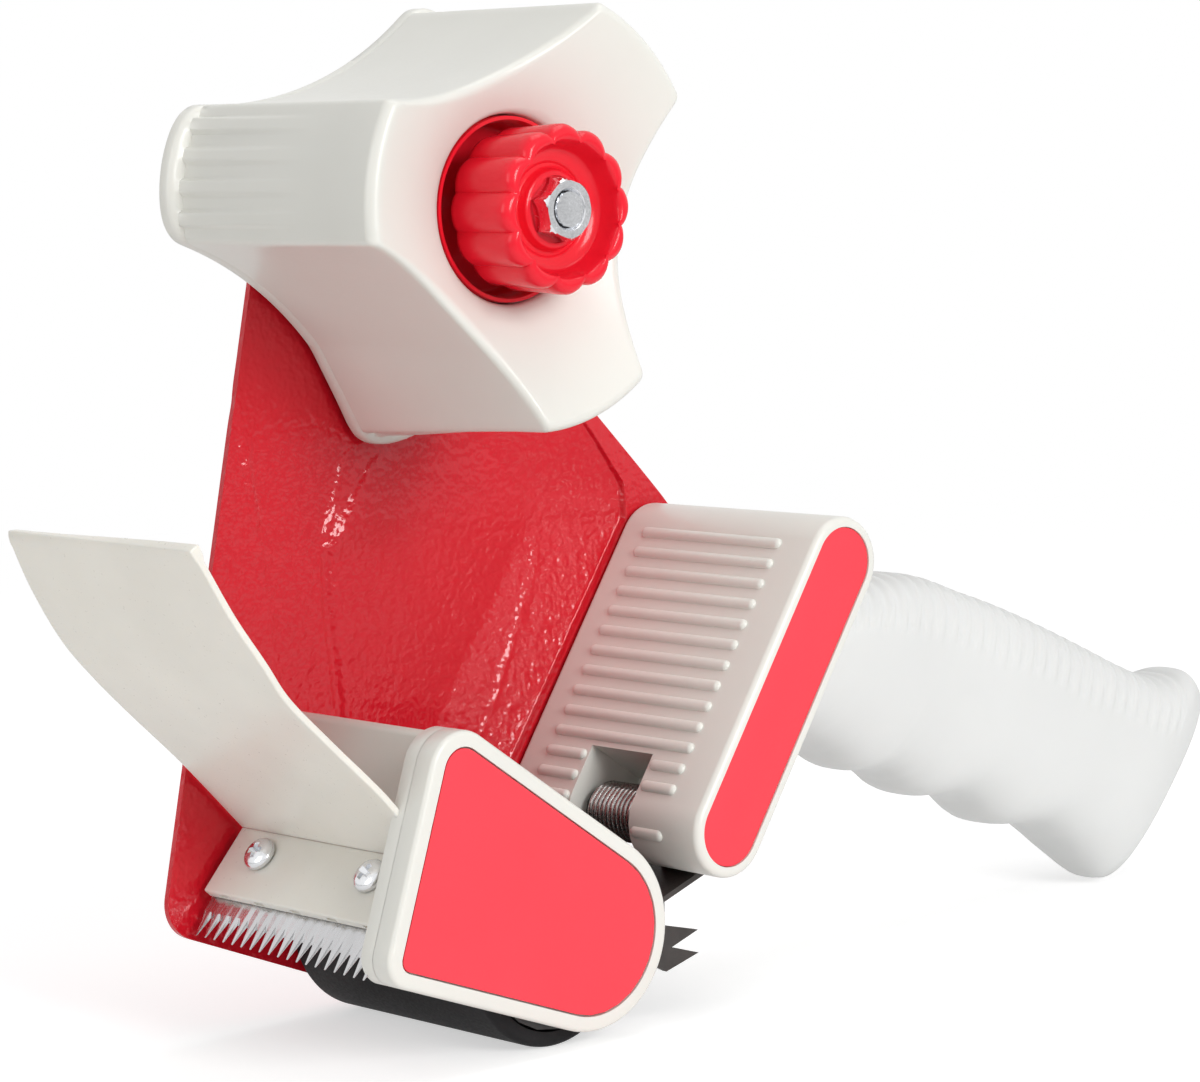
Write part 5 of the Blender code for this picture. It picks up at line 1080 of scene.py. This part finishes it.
def make_housing():
    corners = [(HOUSING_FOOT.x, HOUSING_FOOT.y, HOUSING_R), (HOUSING_TOP.x, HOUSING_TOP.y, HOUSING_R)]
    rings = []
    for line, y in ((moved_in(corners, HOUSING_DRAFT, -HOUSING_DRAFT), OPEN_Y), (corners, -SEAT_GAP)):
        rings.append([(p[0], y, p[1]) for p in rounded_hull(line)])
    block = to_object("housing_block", loft(rings), WARM, "frame", ["rear_housing"])
    rounded(block, 0.0013, 5, 50.0)
    cut(block, prism(notch_outline(), NOTCH_FAR, NOTCH_NEAR))
    inlay = moved_in(corners, INLAY_SHIFT, INLAY_RIM)
    cut(block, prism(rounded_hull(inlay), OPEN_Y - CUT_OVERRUN, OPEN_Y + INLAY_DEPTH))
    data = prism(rounded_hull(shrunk(inlay, INLAY_GAP)), OPEN_Y + 0.0002, OPEN_Y + 0.0012)
    sheet = to_object("inlay_sheet", data, INLAY, "frame", ["housing_inlay"])
    rounded(sheet, 0.00015, 2, 50.0)


def make_housing_ribs():
    """Eleven long ribs, and short ones beside the notch."""
    spans = []
    for k in range(14):
        along = BODY_RIB_FIRST + BODY_RIB_PITCH * k
        if k < 11:
            spans.append((along, BODY_RIB_FAR, BODY_RIB_NEAR, 0.0))
            continue
        spans.append((along, BODY_RIB_FAR, STUB_FAR_END, 0.0))
        if k < 13:
            spans.append((along, STUB_NEAR_START, BODY_RIB_NEAR, 0.0))
    spans.append((0.0, STUB_NEAR_START, FOOT_RIB_NEAR, FOOT_RIB_ANGLE))
    ribs = bmesh.new()
    for along, far, near, curve in spans:
        merge(ribs, housing_rib(along, far, near, curve))
    to_object("housing_ribs", ribs, WARM, "frame", ["rear_housing"], 60.0)


# Torsion spring
COIL_R = 0.0049
COIL_WIRE_R = 0.00052
COIL_FAR, COIL_NEAR = -0.0196, -0.0322
COIL_TURNS = 11
LEG_LENGTH = 0.0062


def make_torsion_spring():
    steps = COIL_TURNS * 40
    leg = HOUSING_FOOT - OUT * (HOUSING_R - NOTCH_WALL - 0.0008) - DOWN * LEG_LENGTH
    path = [Vector((leg.x, COIL_FAR, leg.y))]
    start = math.atan2(-OUT.y, -OUT.x)
    for k in range(steps + 1):
        a = start - math.tau * COIL_TURNS * k / steps
        spot = HOUSING_FOOT + Vector((math.cos(a), math.sin(a))) * COIL_R
        path.append(Vector((spot.x, COIL_FAR + (COIL_NEAR - COIL_FAR) * k / steps, spot.y)))
    data = wire(path, COIL_WIRE_R, 10)
    to_object("spring_coil", data, DARK_STEEL, "frame", ["torsion_spring"], 60.0)


# Handle: its upper and lower line after the root, as (x, z) points
HANDLE_TOP = [
    (0.1057, 0.0704), (0.1240, 0.0648), (0.1356, 0.0605), (0.1474, 0.0554), (0.1595, 0.0499),
    (0.1688, 0.0455), (0.1788, 0.0416), (0.1862, 0.0409), (0.1920, 0.0411), (0.1975, 0.0370),
]
HANDLE_LOW = [
    (0.0690, 0.0440), (0.0765, 0.0418), (0.0827, 0.0387), (0.0901, 0.0341), (0.0975, 0.0331),
    (0.1019, 0.0305), (0.1056, 0.0277), (0.1101, 0.0261), (0.1180, 0.0254), (0.1231, 0.0232),
    (0.1283, 0.0189), (0.1324, 0.0172), (0.1431, 0.0156), (0.1493, 0.0120), (0.1554, 0.0072),
    (0.1624, 0.0018), (0.1662, 0.0009),
]
ROOT_TOP, ROOT_LOW = 0.0030, 0.0375
ROOT_HALF, GRIP_HALF = 0.0165, 0.0145
GRIP_SWELL = 0.0008
BUTT_CAP = 0.0043
BUTT_TAPER = 0.0240
GRIP_RIB_PITCH = 0.00385
GRIP_RIB_DEPTH = 0.00078
GRIP_ROUND = 2.0 / 2.6
HANDLE_RINGS = 392
RIBS_FROM, RIBS_TO = (14.8, 18.8), (357.28, 361.2)


def handle_half(share):
    """Half the grip's width at a share of its length."""
    neck = ROOT_HALF + (GRIP_HALF - ROOT_HALF) * min(1.0, share * 3.0)
    return neck + GRIP_SWELL * math.sin(math.pi * min(1.0, max(0.0, share * 1.6 - 0.6)))


def narrowing(left):
    """Share of the width that is left at a distance from the butt's tip."""
    return math.sqrt(max(0.0, 1.0 - max(0.0, 1.0 - left / BUTT_TAPER) ** 2.2))


def grip_ring(top, low, half, lift):
    """A rounded section between two points, with a rib's lift on its upper part."""
    points = 72
    centre, arm = (top + low) / 2.0, (top - low) / 2.0
    unit = arm.normalized() if arm.length else Vector((0.0, 1.0))
    ring = []
    for k in range(points):
        a = math.tau * k / points
        c, s = math.cos(a), math.sin(a)
        rise = math.copysign(abs(c) ** GRIP_ROUND, c)
        side = math.copysign(abs(s) ** GRIP_ROUND, s)
        crest = smooth_step(0.35, 0.62, rise)
        p = centre + arm * rise + unit * lift * crest * max(0.0, rise)
        reach = half + lift * crest * abs(side)
        ring.append((p.x, OPEN_Y / 2.0 + reach * side, p.y))
    return ring


def make_handle():
    rear = -OUT * (HOUSING_R + SEAT_GAP)
    upper = [HOUSING_TOP + rear + DOWN * ROOT_TOP] + [Vector(p) for p in HANDLE_TOP]
    lower = [HOUSING_TOP + rear + DOWN * ROOT_LOW] + [Vector(p) for p in HANDLE_LOW]
    top_curve = even_line(upper, HANDLE_RINGS)
    low_curve = even_line(lower, HANDLE_RINGS)
    butt_top, butt_low = top_curve[-1], low_curve[-1]
    butt = (butt_top + butt_low) / 2.0
    rings = []
    length = 0.0
    for index, (top, low) in enumerate(zip(top_curve, low_curve)):
        if index:
            length += (top - top_curve[index - 1]).length
        ribbed = smooth_step(*RIBS_FROM, index) * (1.0 - smooth_step(*RIBS_TO, index))
        phase = 0.5 - 0.5 * math.cos(math.tau * length / GRIP_RIB_PITCH)
        lift = GRIP_RIB_DEPTH * (smooth_step(0.12, 0.8, phase) - 1.0) * ribbed
        left = BUTT_CAP + ((top + low) / 2.0 - butt).length
        rings.append(grip_ring(top, low, handle_half(index / HANDLE_RINGS) * narrowing(left), lift))
    out = Vector(((butt_top - butt_low).y, -(butt_top - butt_low).x)).normalized()
    for k in range(1, 15):
        a = math.pi / 2.0 * k / 14.3
        centre = butt + out * BUTT_CAP * math.sin(a)
        half = (butt_top - butt_low) / 2.0 * math.cos(a) ** 0.8
        width = handle_half(1.0) * narrowing(BUTT_CAP * (1.0 - math.sin(a)))
        rings.append(grip_ring(centre + half, centre - half, width, 0.0))
    to_object("handle_grip", loft(rings), GRIP, "frame", ["handle"], 60.0)


# Roller
ROLLER_X, ROLLER_R = 0.0005, 0.0179
SLEEVE_BORE_R = 0.0151
SLEEVE_ROUND = 0.0014
ROLLER_GAP = 0.0005


def make_roller():
    near, far = GUARD_IN_Y + ROLLER_GAP, FLOOR_Y - ROLLER_GAP
    corner = []
    for k in range(7):
        a = math.pi / 2.0 * k / 6
        corner.append((ROLLER_R - SLEEVE_ROUND * (1.0 - math.sin(a)), SLEEVE_ROUND * (1.0 - math.cos(a))))
    profile = [(SLEEVE_BORE_R, near)]
    profile += [(radius, near + depth) for radius, depth in corner]
    profile += [(radius, far - depth) for radius, depth in reversed(corner)]
    profile.append((SLEEVE_BORE_R, far))
    sleeve = lathe(profile, ROLLER_X, ROLLER_R, 160, closed=True)
    to_object("roller_tyre", sleeve, RUBBER, "roller", ["roller_sleeve"], 50.0)


make_plate()
make_hub()
make_knob()
make_nut()
make_cup()
make_guard()
make_flap_sheet()
make_flap_bar()
make_blade()
make_blade_screws()
make_housing()
make_housing_ribs()
make_torsion_spring()
make_handle()
make_roller()


# Stage, light and camera
FLOOR_RADIUS = 40.0
FLOOR_TONE = 0.70
FLOOR_GLOW = 0.53
FLOOR_FADE = (0.22, 0.80)
WORLD_LIGHT = 0.44
WHITE = (1.0, 1.0, 1.0, 1.0)


def to_white_background(tree, low, mirrored):
    """Strength of 1 for camera and glass rays, for mirror rays if asked, else low."""
    path = node(tree, "ShaderNodeLightPath")
    either = node(tree, "ShaderNodeMath")
    either.operation = "MAXIMUM"
    tree.links.new(path.outputs["Is Camera Ray"], either.inputs[0])
    if mirrored:
        tree.links.new(path.outputs["Is Glossy Ray"], either.inputs[1])
    every = node(tree, "ShaderNodeMath")
    every.operation = "MAXIMUM"
    tree.links.new(either.outputs[0], every.inputs[0])
    tree.links.new(path.outputs["Is Transmission Ray"], every.inputs[1])
    strength = node(tree, "ShaderNodeMapRange", To_Min=low)
    tree.links.new(every.outputs[0], strength.inputs["Value"])
    return strength


def floor_material():
    """Pale floor that keeps the shadow near the object and glows white farther out."""
    material = bpy.data.materials.new("studio_floor")
    material.use_nodes = True
    tree = material.node_tree
    shader = tree.nodes["Principled BSDF"]
    shader.inputs["Roughness"].default_value = 0.9
    shader.inputs["Specular IOR Level"].default_value = 0.0
    shader.inputs["Emission Color"].default_value = WHITE
    place = node(tree, "ShaderNodeTexCoord")
    length = node(tree, "ShaderNodeVectorMath")
    length.operation = "LENGTH"
    tree.links.new(place.outputs["Object"], length.inputs[0])
    fade = node(tree, "ShaderNodeMapRange", From_Min=FLOOR_FADE[0], From_Max=FLOOR_FADE[1])
    fade.interpolation_type = "SMOOTHSTEP"
    tree.links.new(length.outputs["Value"], fade.inputs["Value"])
    tint = node(tree, "ShaderNodeValToRGB")
    tint.color_ramp.elements[0].color = (FLOOR_TONE, FLOOR_TONE, FLOOR_TONE, 1.0)
    tint.color_ramp.elements[1].color = (0.0, 0.0, 0.0, 1.0)
    tree.links.new(fade.outputs["Result"], tint.inputs["Fac"])
    tree.links.new(tint.outputs["Color"], shader.inputs["Base Color"])
    glow = node(tree, "ShaderNodeMapRange", To_Min=FLOOR_GLOW, To_Max=1.0)
    tree.links.new(fade.outputs["Result"], glow.inputs["Value"])
    white = to_white_background(tree, 0.0, mirrored=False)
    scale = node(tree, "ShaderNodeMath")
    scale.operation = "MULTIPLY"
    tree.links.new(glow.outputs["Result"], scale.inputs[0])
    tree.links.new(white.outputs["Result"], scale.inputs[1])
    tree.links.new(scale.outputs[0], shader.inputs["Emission Strength"])
    return material


def make_stage():
    data = bmesh.new()
    steps = 96
    rim = arc(0.0, 0.0, FLOOR_RADIUS, 0.0, 360.0, steps)[:steps]
    data.faces.new([data.verts.new((x, y, 0.0)) for x, y in rim])
    mesh = bpy.data.meshes.new("studio_floor")
    data.to_mesh(mesh)
    data.free()
    mesh.materials.append(floor_material())
    floor = link(bpy.data.objects.new("studio_floor", mesh))

    world = bpy.data.worlds.new("studio")
    bpy.context.scene.world = world
    world.use_nodes = True
    tree = world.node_tree
    background = tree.nodes["Background"]
    strength = to_white_background(tree, WORLD_LIGHT, mirrored=True)
    tree.links.new(strength.outputs["Result"], background.inputs["Strength"])
    background.inputs["Color"].default_value = WHITE


def area_light(name, place, target, size, size_y, power):
    light = bpy.data.lights.new(name, "AREA")
    light.shape = "RECTANGLE"
    light.size = size
    light.size_y = size_y
    light.energy = power
    lamp = link(bpy.data.objects.new(name, light))
    lamp.location = place
    lamp.rotation_euler = (Vector(target) - Vector(place)).to_track_quat("-Z", "Y").to_euler()


make_stage()
area_light("key_front", (-0.08, -1.25, 0.50), (-0.03, 0.0, 0.09), 0.5, 0.5, 10.2)
area_light("left_fill", (-1.30, -0.05, 0.50), (-0.05, 0.0, 0.10), 0.7, 0.7, 3.0)
area_light("top_soft", (0.25, -0.1, 1.4), (0.0, 0.0, 0.08), 1.0, 0.8, 5.0)

# The camera that was fitted to the photograph, with its focal length in pixels
CAMERA_PLACE = Vector((-0.43970, -0.54247, 0.16381))
AZIMUTH = math.radians(42.41239)
ELEVATION = math.radians(-6.52631)
ROLL = math.radians(-1.81726)
FOCAL_PIXELS = 3913.08
PHOTO_WIDTH = 1200.0
SENSOR_WIDTH = 36.0


def make_camera():
    level = Vector((math.cos(AZIMUTH), -math.sin(AZIMUTH), 0.0))
    flat = math.cos(ELEVATION)
    forward = Vector((math.sin(AZIMUTH) * flat, math.cos(AZIMUTH) * flat, math.sin(ELEVATION)))
    right = level * math.cos(ROLL) + level.cross(forward) * math.sin(ROLL)
    up = right.cross(forward)
    data = bpy.data.cameras.new("camera")
    data.sensor_width = SENSOR_WIDTH
    data.lens = FOCAL_PIXELS / PHOTO_WIDTH * SENSOR_WIDTH
    data.clip_start = 0.01
    data.clip_end = 200.0
    camera = link(bpy.data.objects.new("camera", data))
    rotation = Matrix((right, up, -forward)).transposed()
    camera.matrix_world = Matrix.Translation(ORIGIN + CAMERA_PLACE) @ rotation.to_4x4()
    bpy.context.scene.camera = camera


make_camera()
bpy.context.scene.view_settings.view_transform = "Standard"
